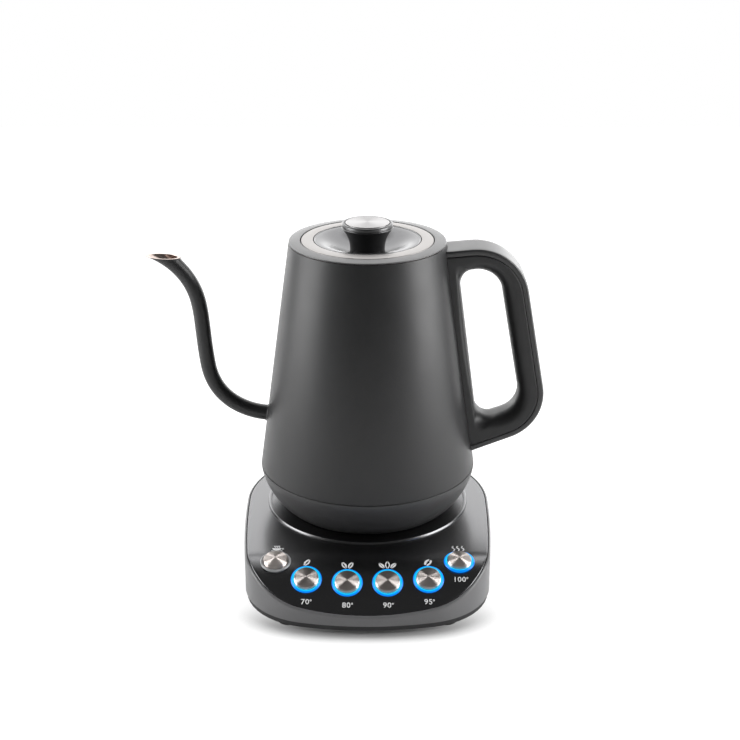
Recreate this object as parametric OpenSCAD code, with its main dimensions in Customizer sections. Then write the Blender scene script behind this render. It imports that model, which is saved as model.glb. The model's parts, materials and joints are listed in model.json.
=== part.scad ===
// Gooseneck kettle with its cordless power base. Millimetres, +Z up.
// The origin is on the axis that the kettle and the base share, at the level of the floor.
// +X points to the handle, -X to the spout and -Y to the front, where the buttons are.

/* [Base] */
// Radius of the base's round back half
base_r = 78.6; // [77:0.1:84]
// Distance from the shared axis to the base's front edge
base_front = 119.4; // [116:0.1:124]
// Radius of the base's two front corners
corner_r = 46; // [40:1:52]
// Radius of the gently bowed front edge
front_r = 174; // [150:1:220]
// Height of the flat top panel over the floor
top_z = 31; // [29:0.5:34]
// Slope of the button panel, degrees
panel_tilt = 30; // [24:1:32]
// Radius of the bend between the flat top and the button panel
bend_r = 50; // [40:1:55]
// Distance from the shared axis to the start of that bend
bend_start = 73; // [71:0.5:75]
// Thickness of the feet
foot_t = 2.4; // [2:0.1:3]

/* [Kettle seat] */
// Outer radius of the raised ring round the seat
seat_r = 65; // [64:0.1:66]
// Radius of the foot of the centring cone
cone_r = 50; // [49:0.1:50.4]
// Radius of the flat on top of the centring cone
plateau_r = 36.7; // [35:0.1:38]
// Height of that flat over the floor
plateau_z = 40; // [39:0.1:40.5]
// Radius of the turret that carries the power contacts
turret_r = 19.3; // [18.8:0.1:19.5]
// Height of the turret's top over the floor
turret_z = 56.3; // [55.5:0.1:56.5]

/* [Buttons] */
// Outer radius of the light ring round a button
ring_r = 9.7; // [9:0.1:10]
// Radius of a button's steel cap
cap_r = 7.25; // [6.8:0.05:7.3]
// Travel of a button
travel = 0.8; // [0.4:0.1:1]

/* [Kettle body] */
// Radius of the body at the seam, its widest place
seam_r = 68.7; // [67:0.1:70]
// Height of the seam over the kettle's foot
seam_z = 27.2; // [26:0.1:28]
// Radius of the body at its top
neck_r = 48.6; // [47.5:0.1:49.5]
// Height of the body's top over the kettle's foot
neck_z = 174.7; // [170:0.1:178]
// Thickness of the steel wall
wall = 1; // [0.8:0.1:1.2]
// Radius of the lid
lid_r = 40.9; // [40:0.1:41]
// Radius of the knob's rim
knob_r = 15.7; // [14:0.1:18]
// Height of the knob's rim over the lid
knob_h = 10.1; // [9:0.1:12]

/* [Spout] */
// Outer radius of the tube where it leaves the body
spout_root_r = 4.9; // [4.5:0.1:5.2]
// Outer radius of the tube on its upright stretch
spout_mid_r = 4.8; // [4.3:0.1:5]
// Outer radius of the tube at the mouth
spout_mouth_r = 4.9; // [4.5:0.1:5.5]
// Wall of the tube
spout_wall = 0.9; // [0.7:0.1:1]
// Height of the mouth over the kettle's foot
mouth_z = 164.1; // [163:0.1:166]

/* [Handle] */
// Width of the handle from side to side
handle_w = 24; // [20:0.5:26]
// Thickness of the cover strip along the handle's outer edge
cover_t = 3.7; // [3:0.1:4]
// Radius of the edge round the finger gap
grip_round = 4; // [2:0.5:5]

/* [Hidden] */
$fn = 96;
kettle_z = 31.8;         // height of the kettle's foot while it sits on the base
seat_z = 31.5;           // height of the flat ring that the foot stands over
panel_t = 2.4;           // thickness of the top panel
pan_z = 5.2;             // top edge of the bottom pan
shell_low = 5.6;         // lower edge of the shell, above a thin shadow gap
side_r = 790;            // radius of the nearly straight sides
taper = (seam_r - neck_r) / (neck_z - seam_z);

// One entry a button: x, y
button_at = [[-55.6, -84], [-36.6, -97], [-12.1, -99], [12.1, -99], [36.6, -97], [55.6, -84]];
boss_at = [[-64, 24], [64, 24], [-62, -52], [62, -52]];
foot_at = [[-47, -101], [47, -101]];

// ---------- outlines ----------

// Points on an arc about c, without its last point.
function arc(c, r, a0, a1, n) =
  [for (i = [0 : n - 1]) let (a = a0 + (a1 - a0) * i / n) c + r * [cos(a), sin(a)]];

function unit(v) = v / norm(v);
function left_of(v) = [-v.y, v.x];
function angle_of(v) = atan2(v.y, v.x);

// The lower of the two points that lie at distance a from p and b from q.
function meet(p, a, q, b) =
  let (l = norm(q - p), e = (q - p) / l, s = (a * a - b * b + l * l) / (2 * l))
  p + s * e - sqrt(a * a - s * s) * left_of(e);

side_c = [base_r - side_r, 0];
front_c = [0, front_r - base_front];
corner_c = meet(side_c, side_r - corner_r, front_c, front_r - corner_r);
side_end = angle_of(corner_c - side_c);
front_end = angle_of(corner_c - front_c);

// Right half of the base's outline, moved inwards by d, from the back to the front.
function half_base(d) = concat(
  arc([0, 0], base_r - d, 90, 0, 18),
  arc(side_c, side_r - d, 0, side_end, 2),
  arc(corner_c, corner_r - d, side_end, front_end, 10),
  arc(front_c, front_r - d, front_end, -90, 3),
  [[0, d - base_front]]);

function base_outline(d) =
  let (right = half_base(d), n = len(right))
  concat(right, [for (i = [n - 2 : -1 : 1]) [-right[i].x, right[i].y]]);

// Side view of all that lies under the top surface lowered by d: points are [y, z].
function brow(d) =
  let (c = [-bend_start, top_z - bend_r], r = bend_r - d, last = c + r * [-sin(panel_tilt), cos(panel_tilt)])
  concat([[100, top_z - d]], arc(c, r, 90, 90 + panel_tilt, 8),
    [last, last - 60 * [cos(panel_tilt), sin(panel_tilt)], [-150, -20], [100, -20]]);

// Corners of an open or closed run of straight edges, each rounded with its own radius.
function round_corner(a, p, b, r) =
  let (u = unit(a - p), v = unit(b - p), half = acos(u * v) / 2,
    c = p + unit(u + v) * r / sin(half), t0 = p + u * r / tan(half), t1 = p + v * r / tan(half),
    a0 = angle_of(t0 - c), turn = (angle_of(t1 - c) - a0 + 540) % 360 - 180)
  [for (i = [0 : 8]) c + r * [cos(a0 + turn * i / 8), sin(a0 + turn * i / 8)]];

function round_all(pts, radii) =
  let (n = len(pts))
  [for (i = [0 : n - 1]) each radii[i] == 0 ? [pts[i]]
    : round_corner(pts[(i + n - 1) % n], pts[i], pts[(i + 1) % n], radii[i])];

// A clockwise polygon with every edge moved outwards by d.
function grow(pts, d) =
  let (n = len(pts))
  [for (i = [0 : n - 1])
    let (p = left_of(unit(pts[i] - pts[(i + n - 1) % n])), q = left_of(unit(pts[(i + 1) % n] - pts[i])))
    pts[i] + d * (p + q) / (1 + p * q)];

// ---------- shared pieces ----------

module ring(r_in, r_out, z0, z1) {
  translate([0, 0, z0]) difference() {
    cylinder(r = r_out, h = z1 - z0);
    translate([0, 0, -1]) cylinder(r = r_in, h = z1 - z0 + 2);
  }
}

module box(x, y, z) {
  translate([x[0], y[0], z[0]]) cube([x[1] - x[0], y[1] - y[0], z[1] - z[0]]);
}

module outline_prism(d, z0, z1) {
  translate([0, 0, z0]) linear_extrude(z1 - z0) polygon(base_outline(d));
}

// What lies inside the outline, above z0 and under the top surface lowered by drop.
module base_form(d, z0, drop) {
  intersection() {
    outline_prism(d, z0, 45);
    rotate([90, 0, 90]) translate([0, 0, -100]) linear_extrude(200) polygon(brow(drop));
  }
}

// Carries children to a place on the top surface, with +Z along its outward normal.
module on_panel(at) {
  lean = min(panel_tilt, asin(min(1, max(0, (-at.y - bend_start) / bend_r))));
  bend_z = top_z - bend_r * (1 - cos(lean));
  past = max(0, -at.y - bend_start - bend_r * sin(panel_tilt));
  translate([at.x, at.y, bend_z - past * tan(panel_tilt)]) rotate([lean, 0, 0]) children();
}

// Rounded slot along X.
module slot(length, width, depth) {
  for (s = [-1, 1]) translate([s * (length - width) / 2, 0, 0]) cylinder(d = width, h = depth, $fn = 24);
  translate([(width - length) / 2, -width / 2, 0]) cube([length - width, width, depth]);
}

// ---------- base ----------

pan_floor = foot_t + 2;  // top face of the pan's floor
boss_split = 16;         // height at which the pan's posts meet the panel's posts
screw_seat_z = foot_t + 3;  // height of the step that the screws' heads bear on

module base_pan() {
  color("#1b1b1c") difference() {
    union() {
      outline_prism(0.9, foot_t, pan_z);
      for (p = boss_at) translate([p.x, p.y, foot_t]) cylinder(r = 4.2, h = boss_split - foot_t, $fn = 32);
    }
    difference() {
      outline_prism(3.4, pan_floor, pan_z + 1);
      for (p = boss_at) translate([p.x, p.y, 0]) cylinder(r = 4.2, h = 30, $fn = 32);
    }
    for (p = boss_at) translate([p.x, p.y, 0]) {
      cylinder(r = 1.75, h = 20, $fn = 32);
      cylinder(r = 3.1, h = screw_seat_z, $fn = 32);
    }
    for (s = [-1, 1]) drain_at(s) translate([0, 0, -1]) slot(12, 5, 10);
    for (i = [-2 : 2]) translate([i * 4, -52, -1]) cylinder(r = 1, h = 10, $fn = 16);
  }
}

// Places of the two drain slots, tangent to the seat.
module drain_at(side) {
  rotate([0, 0, side > 0 ? 45.6 : 134.4]) translate([53.5, 0, 0]) rotate([0, 0, 90]) children();
}

module base_shell() {
  ledge = panel_t + 0.1;
  color("#3a3a3c") difference() {
    base_form(0, shell_low, 0);
    base_form(2.9, 0, ledge - 0.02);
    difference() {
      base_form(1.2, 0, -1);
      base_form(1.1, -1, ledge);
    }
    translate([0, base_r - 10, 14]) rotate([-90, 0, 0]) cylinder(r = 6.1, h = 20, $fn = 48);
  }
}

module base_top() {
  color("#2b2b2d") difference() {
    union() {
      difference() {
        base_form(1.6, 5, 0);
        base_form(1.5, 0, panel_t);
      }
      for (p = boss_at) translate([p.x, p.y, boss_split + 0.2])
        cylinder(r = 3.6, h = top_z - panel_t - boss_split, $fn = 32);
    }
    translate([0, 0, 20]) cylinder(r = seat_r - 2.4, h = 20);
    for (b = button_at) on_panel(b) translate([0, 0, -6]) cylinder(r = 9, h = 12, $fn = 48);
    for (p = boss_at) translate([p.x, p.y, 10]) cylinder(r = 1.25, h = 16, $fn = 24);
  }
}

module seat_plate() {
  lip_z = seat_z + 0.9;
  thick = 2.3;
  color("#2b2b2d") difference() {
    rotate_extrude() polygon([
      [18.6, plateau_z - thick], [18.6, plateau_z], [23.8, plateau_z], [24, plateau_z - 0.3],
      [24.2, plateau_z], [31.5, plateau_z], [31.5, plateau_z - 1], [32.6, plateau_z - 1],
      [32.6, plateau_z], [plateau_r, plateau_z], [cone_r, seat_z], [seat_r - 2, seat_z],
      [seat_r - 1.7, lip_z], [seat_r - 0.4, lip_z], [seat_r, lip_z - 0.4], [seat_r, top_z + 0.05],
      [seat_r - 2.6, top_z + 0.05], [seat_r - 2.6, seat_z - thick],
      [cone_r - 0.8, seat_z - thick], [plateau_r - 0.8, plateau_z - thick]]);
    for (s = [-1, 1]) drain_at(s) translate([0, 0, 20]) slot(11, 5, 20);
  }
}

// Rubber ring under the seat and two round feet at the front.
module rubber_feet() {
  color("#101010") {
    ring(58, 64, 0, foot_t);
    for (p = foot_at) translate([p.x, p.y, 0]) cylinder(r = 7, h = foot_t, $fn = 48);
  }
}

module base_screws() {
  color("#9a9ea3") for (p = boss_at) translate([p.x, p.y, screw_seat_z]) {
    translate([0, 0, -1.6]) cylinder(r = 2.8, h = 1.6, $fn = 24);
    cylinder(r = 1.25, h = 17.6, $fn = 24);
  }
}

gland_bore = 3.6;        // radius of the hole that the cord enters by
gland_z = 14;

module cord_gland() {
  color("#151515") translate([0, 0, gland_z]) rotate([-90, 0, 0]) difference() {
    union() {
      translate([0, 0, 72.6]) cylinder(r = 7.6, h = 2, $fn = 48);
      translate([0, 0, 74]) cylinder(r = 6, h = 5.4, $fn = 48);
      translate([0, 0, base_r + 0.1]) cylinder(r = 7.6, h = 1.3, $fn = 48);
    }
    translate([0, 0, 70]) cylinder(r = gland_bore, h = 12, $fn = 48);
  }
}

board_z = 8;             // underside of the power board
board_top = board_z + 1.6;

module power_board() {
  color("#1f5f3a") {
    box([-42, 42], [-34, 50], [board_z, board_top]);
    for (x = [-36, 36]) for (y = [-28, 44]) translate([x, y, pan_floor])
      cylinder(r = 3, h = board_z - pan_floor, $fn = 24);
  }
}

module board_relay() {
  color("#2f62b0") box([-36, -16], [22, 38], [board_top, board_top + 15.5]);
}

module board_transformer() {
  color("#d8c24a") {
    box([14, 36], [20, 40], [board_top, board_top + 3]);
    box([16, 34], [22, 38], [board_top + 3, board_top + 15]);
  }
}

module board_capacitors() {
  color("#303a6a") for (y = [-24, -10, 4]) translate([30, y, board_top]) {
    cylinder(r = 5, h = 12, $fn = 32);
    translate([0, 0, 12]) cylinder(r = 4.4, h = 0.6, $fn = 32);
  }
}

module buzzer() {
  color("#111111") translate([-30, -14, board_top]) difference() {
    cylinder(r = 6, h = 7, $fn = 48);
    translate([0, 0, 5]) cylinder(r = 1.2, h = 3, $fn = 24);
  }
}

module turret_wires() {
  color("#c8642c") for (x = [-7, 0, 7]) {
    translate([x, 8, board_top]) cylinder(r = 1.1, h = 24 - board_top, $fn = 16);
    translate([x / 3.5, 50, board_top + 1.1]) rotate([-90, 0, 0]) cylinder(r = 1, h = 22.4, $fn = 16);
  }
}

// Flat cable from the button board back to the power board: side view [y, z].
module ribbon_cable() {
  path = [[-88, 13.6], [-81, 17.5], [-72, 12], [-30, board_top + 0.92]];
  low = [for (p = path) p - [0, 0.9]];
  color("#8d8f93") rotate([90, 0, 90]) translate([0, 0, -9]) linear_extrude(18)
    polygon(concat(path, [for (i = [3 : -1 : 0]) low[i]]));
}

// ---------- buttons ----------

switch_top = -8.9;       // top of a switch under the panel's surface
switch_h = 3.4;
sleeve_in = cap_r + 0.35;

// One long board under the four middle buttons and a small one under each outer button.
module control_boards() {
  deck = [switch_top - switch_h - 1.8, switch_top - switch_h - 0.2];
  color("#1f5f3a") {
    on_panel([0, button_at[2].y]) box([-46, 46], [-10, 14], deck);
    for (i = [0, 5]) on_panel(button_at[i]) box([-7.5, 7.5], [-8, 8], deck);
  }
}

module tact_switches() {
  color("#c9cdd2") for (b = button_at) on_panel(b) {
    box([-3, 3], [-3, 3], [switch_top - switch_h, switch_top - 1]);
    translate([0, 0, switch_top - 1]) cylinder(r = 1.7, h = 1, $fn = 24);
  }
}

module ring_leds() {
  color("#e8f4ff") for (i = [1 : 5]) for (s = [-1, 1]) on_panel(button_at[i])
    translate([s * 6, 0, 0]) box([-1.4, 1.4], [-1.6, 1.6], [switch_top - switch_h, switch_top - 1.6]);
}

// Ring with a sleeve that reaches down through the panel and guides the cap.
module button_ring() {
  rotate_extrude() polygon([
    [sleeve_in, -4], [8.9, -4], [8.9, 0.05], [ring_r, 0.05], [ring_r, 0.4], [ring_r - 0.5, 0.85],
    [sleeve_in + 0.2, 0.85], [sleeve_in, 0.6]]);
}

module light_rings() {
  color("#1f9dff") for (i = [1 : 5]) on_panel(button_at[i]) button_ring();
}

module warm_ring() {
  color("#d5d7da") on_panel(button_at[0]) button_ring();
}

// Spun steel cap: a shallow cone with a rolled edge over a hollow skirt.
module button_cap(i) {
  color("#cfc8c2") on_panel(button_at[i]) rotate_extrude() polygon([
    [0, 0.3], [0, 3.9], [cap_r - 0.95, 2.75], [cap_r - 0.5, 2.65], [cap_r, 1.9],
    [cap_r, -3], [cap_r - 0.7, -3], [cap_r - 0.7, 0.3]]);
}

module button_stem(i) {
  color("#202020") on_panel(button_at[i]) {
    translate([0, 0, -2]) cylinder(r = cap_r - 0.8, h = 2.25, $fn = 48);
    translate([0, 0, switch_top + travel + 0.4]) cylinder(r = 2, h = 6, $fn = 32);
  }
}

// ---------- turret ----------

turret_gap_z = turret_z - 1.7;  // underside of the cap
stub_r = 6;

module turret_housing() {
  color("#1a1a1b") rotate_extrude() polygon([
    [14, 24], [18.2, 24], [18.2, plateau_z], [20, plateau_z], [19.8, plateau_z + 3.4],
    [20.5, plateau_z + 3.4], [20.5, plateau_z + 5.2], [20.3, plateau_z + 5.4], [turret_r, plateau_z + 5.4],
    [turret_r, turret_gap_z - 0.3], [stub_r + 0.05, turret_gap_z - 0.3], [stub_r + 0.05, turret_gap_z - 2.6],
    [16.5, turret_gap_z - 2.6], [16.5, 30], [14, 30]]);
}

// Cap with a recessed face that holds the two contact rings.
module turret_cap() {
  face_z = turret_gap_z + 0.5;
  color("#1a1a1b") rotate_extrude() polygon([
    [0, turret_gap_z - 4], [stub_r, turret_gap_z - 4], [stub_r, turret_gap_z], [20.1, turret_gap_z],
    [20.3, turret_gap_z + 0.3], [20.3, turret_z - 0.5], [19.8, turret_z], [17, turret_z],
    [16.6, turret_z - 0.4], [16.6, face_z], [0, face_z]]);
}

module turret_contacts() {
  face_z = turret_gap_z + 0.5;
  color("#c9b48a") {
    for (r = [8.4, 12.5]) ring(r - 0.5, r + 0.5, face_z, face_z + 0.6);
    for (a = [90, 210, 330]) rotate([0, 0, a]) difference() {
      intersection() {
        ring(1.6, 4.5, face_z, face_z + 0.9);
        translate([0, -1.9, 0]) cube([6, 3.8, 100]);
      }
    }
  }
}

module turret_clip() {
  color("#8c9096") ring(stub_r - 0.8, 8.6, turret_gap_z - 4.6, turret_gap_z - 4);
}

// ---------- kettle: heights from here on are over its foot ----------

module seated() {
  translate([0, 0, kettle_z]) children();
}

bowl_in = 46;            // radius about which the bowl's curve is drawn
bowl_h = 29.85;          // depth that the curve would reach
bowl_power = 1.28;       // below 2 the curve is flatter than an ellipse's squares
foot_in = 50.6;          // inner radius of the foot
ceiling_z = 10.6;        // ceiling of the recess over the base's cone

// The bowl's curve moved inwards by d, from height z0 up to the seam: points are [r, z].
function bowl(d, z0) =
  let (w = seam_r - bowl_in - d, h = bowl_h - d, a0 = acos(pow((seam_z - z0) / h, 1 / bowl_power)))
  [for (i = [0 : 14]) let (a = a0 + (90 - a0) * i / 14)
    [bowl_in + w * pow(sin(a), bowl_power), seam_z - h * pow(max(0, cos(a)), bowl_power)]];

module bottom_housing() {
  t = 2.2;
  recess_r = foot_in - ceiling_z * (cone_r - plateau_r) / (plateau_z - seat_z);
  inner = bowl(t, t);
  color("#333335") seated() difference() {
    rotate_extrude() polygon(concat(
      [[foot_in, 0]], bowl(0, 0), [for (i = [len(inner) - 1 : -1 : 0]) inner[i]],
      [[foot_in + 0.6, t], [recess_r + 1.2, ceiling_z + t], [23.9, ceiling_z + t],
        [23.9, ceiling_z], [recess_r, ceiling_z]]));
    for (a = [30, 150, 270]) rotate([0, 0, a]) translate([28.5, 0, 5]) cylinder(r = 1.6, h = 12, $fn = 24);
  }
}

module seam_gasket() {
  color("#0a0a0a") seated() ring(seam_r - 3, seam_r - 0.5, seam_z, seam_z + 0.6);
}

function wall_r(z) = seam_r - (z - seam_z) * taper;

floor_z = 39.2;          // top face of the vessel's floor
spout_z = 60.4;          // height at which the spout leaves the body

// Drawn steel wall of the vessel, with its skirt under the floor down to the seam.
module vessel() {
  low = seam_z + 0.6;
  top = neck_z - 0.2;
  color("#2e2e30") seated() difference() {
    rotate_extrude() polygon([
      [wall_r(low), low], [wall_r(top), top], [wall_r(top) - wall, top], [wall_r(low) - wall, low]]);
    translate([-75, 0, spout_z]) rotate([0, 90, 0]) cylinder(r = spout_root_r + 0.1, h = 30, $fn = 48);
  }
}

// Pressed floor with its rim turned down, welded into the wall.
module vessel_floor() {
  fit = wall + 0.05;
  rim_z = floor_z - 3.5;
  color("#8f9296") seated() difference() {
    rotate_extrude() polygon([
      [0, floor_z - 1], [0, floor_z], [wall_r(floor_z) - fit - 0.5, floor_z],
      [wall_r(floor_z) - fit, floor_z - 0.5], [wall_r(rim_z) - fit, rim_z],
      [wall_r(rim_z) - fit - 1, rim_z], [wall_r(floor_z) - fit - 1, floor_z - 1]]);
    probe_place() cylinder(r = 3, h = 60, $fn = 32);
  }
}

collar_in = lid_r + 0.5; // radius of the collar's opening
throat_r = 38.8;         // radius of the neck tube under the lid

module top_collar() {
  low = neck_z + 0.2;
  color("#4a4b4d") seated() rotate_extrude() polygon([
    [throat_r, neck_z - 10], [throat_r + 1.2, neck_z - 10], [throat_r + 1.2, neck_z - 3],
    [neck_r - 3, neck_z - 1.6], [neck_r - 2.6, neck_z - 4.6], [neck_r - wall, neck_z - 4.6],
    [neck_r - wall, low], [neck_r, low], [neck_r - 0.3, low + 0.4], [collar_in + 0.3, neck_z + 1.4],
    [collar_in, neck_z + 1.2], [collar_in, neck_z - 1.5], [throat_r, neck_z - 1.5]]);
}

// ---------- heating and control in the kettle's bottom ----------

module heat_spreader() {
  color("#b9bcc0") seated() translate([0, 0, floor_z - 4]) cylinder(r = 48, h = 3);
}

element_z = floor_z - 7.6;

module heating_element() {
  color("#8f9296") seated() translate([0, 0, element_z]) {
    rotate([0, 0, -60]) rotate_extrude(angle = 300) translate([36, 0]) circle(r = 3.5, $fn = 24);
    for (a = [-54, 234]) rotate([0, 0, a]) translate([36, 0, -9]) cylinder(r = 1.8, h = 8, $fn = 24);
  }
}

module thermostats() {
  color("#d8cfa8") seated() for (x = [-12, 12]) translate([x, 0, floor_z - 8.2]) {
    cylinder(r = 8, h = 2.6, $fn = 40);
    translate([0, 0, 2.6]) cylinder(r = 6.6, h = 1.6, $fn = 40);
  }
}

module probe_place() {
  rotate([0, 0, 135]) translate([53.6, 0, 0]) children();
}

module temperature_probe() {
  color("#c7cacd") seated() probe_place() {
    translate([0, 0, floor_z - 14]) cylinder(r = 2, h = 28, $fn = 32);
    translate([0, 0, floor_z + 14]) sphere(r = 2, $fn = 32);
  }
}

module probe_seal() {
  color("#8a2f20") seated() probe_place() difference() {
    union() {
      translate([0, 0, floor_z]) cylinder(r = 4.4, h = 1.6, $fn = 32);
      translate([0, 0, floor_z - 3.4]) cylinder(r = 2.95, h = 4, $fn = 32);
      translate([0, 0, floor_z - 3.4]) cylinder(r = 4.4, h = 2.2, $fn = 32);
    }
    translate([0, 0, floor_z - 5]) cylinder(r = 2.02, h = 10, $fn = 32);
  }
}

socket_bore = 21;
socket_top = turret_z - kettle_z + 0.9;  // ceiling of the socket over the turret

module socket_housing() {
  color("#1a1a1b") seated() difference() {
    union() {
      translate([0, 0, ceiling_z - 2]) cylinder(r = 23.6, h = socket_top + 4.4 - ceiling_z);
      translate([0, 0, ceiling_z + 2.3]) cylinder(r = 32.4, h = 2);
    }
    translate([0, 0, 0]) cylinder(r = socket_bore, h = socket_top);
    for (a = [30, 150, 270]) rotate([0, 0, a]) translate([28.5, 0, 5]) cylinder(r = 1.25, h = 12, $fn = 24);
  }
}

// Contact rings that reach down to the turret's own rings, and the centre pin.
module socket_contacts() {
  color("#c98f4a") seated() {
    for (r = [8.4, 12.5]) ring(r - 0.4, r + 0.4, turret_z - kettle_z - 0.1, socket_top);
    translate([0, 0, turret_z - kettle_z + 0.3]) cylinder(r = 1.3, h = 0.6, $fn = 32);
  }
}

module housing_screws() {
  color("#9a9ea3") seated() for (a = [30, 150, 270]) rotate([0, 0, a]) translate([28.5, 0, 0]) {
    translate([0, 0, ceiling_z - 1.5]) cylinder(r = 2.7, h = 1.5, $fn = 24);
    translate([0, 0, ceiling_z - 0.1]) cylinder(r = 1.25, h = 8, $fn = 24);
  }
}

// ---------- spout ----------

function bezier(p, t) =
  pow(1 - t, 3) * p[0] + 3 * t * pow(1 - t, 2) * p[1] + 3 * t * t * (1 - t) * p[2] + pow(t, 3) * p[3];
function heading(p, t) = unit(
  pow(1 - t, 2) * (p[1] - p[0]) + 2 * t * (1 - t) * (p[2] - p[1]) + t * t * (p[3] - p[2]));

// The gooseneck's centreline in side view [x, z]: out and up, along the neck, over to the mouth.
neck_low = [-101, spout_z + 33.4];
neck_top = [-107.4, spout_z + 81.9];
sweep_up = [[-62, spout_z], [-72, spout_z], [-97, spout_z + 5.8], neck_low];
sweep_neck = [neck_low, neck_low + [-3.1, 21.6], neck_top + [4.4, -12.1], neck_top];
sweep_mouth = [neck_top, neck_top + [-3.7, 10.1], [-117.1, mouth_z - 4.5], [-125.1, mouth_z]];

// One entry a ring of points: centre, heading, radius, lean towards a level cut.
function stretch(p, r0, r1, n, lean) =
  [for (i = [0 : n - 1]) let (t = i / n, widen = lean > 0 ? t * t : t)
    [bezier(p, t), heading(p, t), r0 + (r1 - r0) * widen, lean * t * t]];
spout_rings = concat(
  stretch(sweep_up, spout_root_r, spout_mid_r, 14, 0),
  stretch(sweep_neck, spout_mid_r, spout_mid_r, 9, 0),
  stretch(sweep_mouth, spout_mid_r, spout_mouth_r, 12, 1),
  [[sweep_mouth[3], heading(sweep_mouth, 1), spout_mouth_r, 1]]);

spout_sides = 28;

// A ring's points; the last ones slide along the heading until the cut lies level.
function ring_points(s, inset) =
  let (h = s[1], up = [h.y, -h.x], r = s[2] - inset)
  [for (k = [0 : spout_sides - 1])
    let (a = 360 * k / spout_sides, rise = r * cos(a), slide = s[3] > 0 ? s[3] * rise * up.y / h.y : 0,
      q = s[0] + rise * up - slide * h)
    [q.x, r * sin(a), q.y]];

module spout_tube() {
  n = len(spout_rings);
  m = spout_sides;
  points = concat(
    [for (s = spout_rings) each ring_points(s, 0)],
    [for (s = spout_rings) each ring_points(s, spout_wall)]);
  inner = n * m;
  last = (n - 1) * m;
  faces = [for (k = [0 : m - 1]) let (l = (k + 1) % m) each concat(
    [for (i = [0 : n - 2]) each [
      [i * m + k, i * m + l, (i + 1) * m + l], [i * m + k, (i + 1) * m + l, (i + 1) * m + k],
      [inner + i * m + k, inner + (i + 1) * m + l, inner + i * m + l],
      [inner + i * m + k, inner + (i + 1) * m + k, inner + (i + 1) * m + l]]],
    [[k, inner + l, l], [k, inner + k, inner + l],
      [last + k, last + l, inner + last + l], [last + k, inner + last + l, inner + last + k]])];
  color("#262627") seated() polyhedron(points, faces, convexity = 6);
}

// ---------- handle ----------

// Side views, clockwise: top at the body, top corner, lower corner, foot at the body.
handle_edge = [[40, 170.4], [94, 175.3], [115.2, 57.3], [58, 34.8]];
handle_round = [0, 33, 31, 0];
gap_edge = [[56.2, 158.1], [81.1, 158.6], [97.5, 68.1], [69.8, 56.7]];
gap_round = [9, 16, 15, 9.5];

function handle_outline(d) = round_all(grow(handle_edge, -d), [for (r = handle_round) max(0, r - d)]);
function gap_outline(d) = round_all(grow(gap_edge, d), [for (r = gap_round) r + d]);

// Stands a side view up in the XZ plane between two values of Y.
module side_view(y0, y1) {
  rotate([90, 0, 0]) translate([0, 0, -y1]) linear_extrude(y1 - y0) children();
}

// The body's own tapered form, slightly enlarged, that the handle is shaped to.
module body_cone(extra) {
  cylinder(r1 = wall_r(0) + extra, r2 = wall_r(200) + extra, h = 200, $fn = 128);
}

module finger_gap() {
  half = handle_w / 2;
  side_view(-half - 1, half + 1) polygon(gap_outline(0));
  for (s = [-1, 1]) for (step = [[0, 45], [45, 90]]) hull()
    for (a = step) let (y = s * (half - grip_round * (1 - sin(a))))
      side_view(y - 0.01, y + 0.01) polygon(gap_outline(grip_round * (1 - cos(a))));
}

bracket_z = [[152, 166], [45, 58]];

module handle_body() {
  half = handle_w / 2;
  color("#29292a") seated() difference() {
    side_view(-half, half) polygon(handle_outline(cover_t + 0.15));
    finger_gap();
    body_cone(0.15);
    for (z = bracket_z) box([30, wall_r(z[0]) + 3.4], [-8, 8], [z[0] - 0.4, z[1] + 0.4]);
    for (i = [0, 1]) screw_place(i) {
      translate([0, 0, -1]) cylinder(r = 1.7, h = 20, $fn = 32);
      translate([0, 0, screw_grip]) cylinder(r = 2.4, h = 60, $fn = 32);
    }
  }
}

module handle_cover() {
  half = handle_w / 2;
  color("#29292a") seated() difference() {
    side_view(-half, half) polygon(handle_outline(0));
    side_view(-half - 1, half + 1) polygon(handle_outline(cover_t));
    body_cone(0.15);
  }
}

screw_grip = 10;         // length of each screw under its head

// Lines on which the two screws run, from the body outwards through the handle's arms.
module screw_place(i) {
  z = [163.4, 48][i];
  rise = [0, 22][i];
  translate([wall_r(z) + 1, 0, z]) rotate([0, 90 - rise, 0]) children();
}

module handle_brackets() {
  color("#8c9096") seated() difference() {
    for (z = bracket_z) box([30, wall_r(z[0]) + 3], [-7.6, 7.6], z);
    body_cone(0.05);
    for (i = [0, 1]) screw_place(i) translate([0, 0, -8]) cylinder(r = 1.55, h = 40, $fn = 32);
  }
}

module handle_screws() {
  color("#9a9ea3") seated() for (i = [0, 1]) screw_place(i) {
    cylinder(r = 1.5, h = screw_grip, $fn = 24);
    translate([0, 0, screw_grip]) cylinder(r = 2.2, h = 2.2, $fn = 24);
  }
}

// ---------- lid ----------

lid_z = neck_z + 1.3;    // height of the lid ring's outer edge
dish_r = 33.3;           // radius of the dark dish inside the steel ring
dish_foot = 9;
dish_depth = 7;

module lid_ring() {
  color("#b8aca2") seated() rotate_extrude() polygon([
    [dish_r, lid_z + 0.3], [lid_r - 0.5, lid_z], [lid_r, lid_z - 0.5], [lid_r, lid_z - 2.4],
    [lid_r - 1, lid_z - 2.4], [lid_r - 1, lid_z - 1], [dish_r, lid_z - 0.7]]);
}

// Height of the dish at radius r.
function dish_at(r) = lid_z - dish_depth + dish_depth * pow((r - dish_foot) / (dish_r - dish_foot), 1.9);

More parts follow.
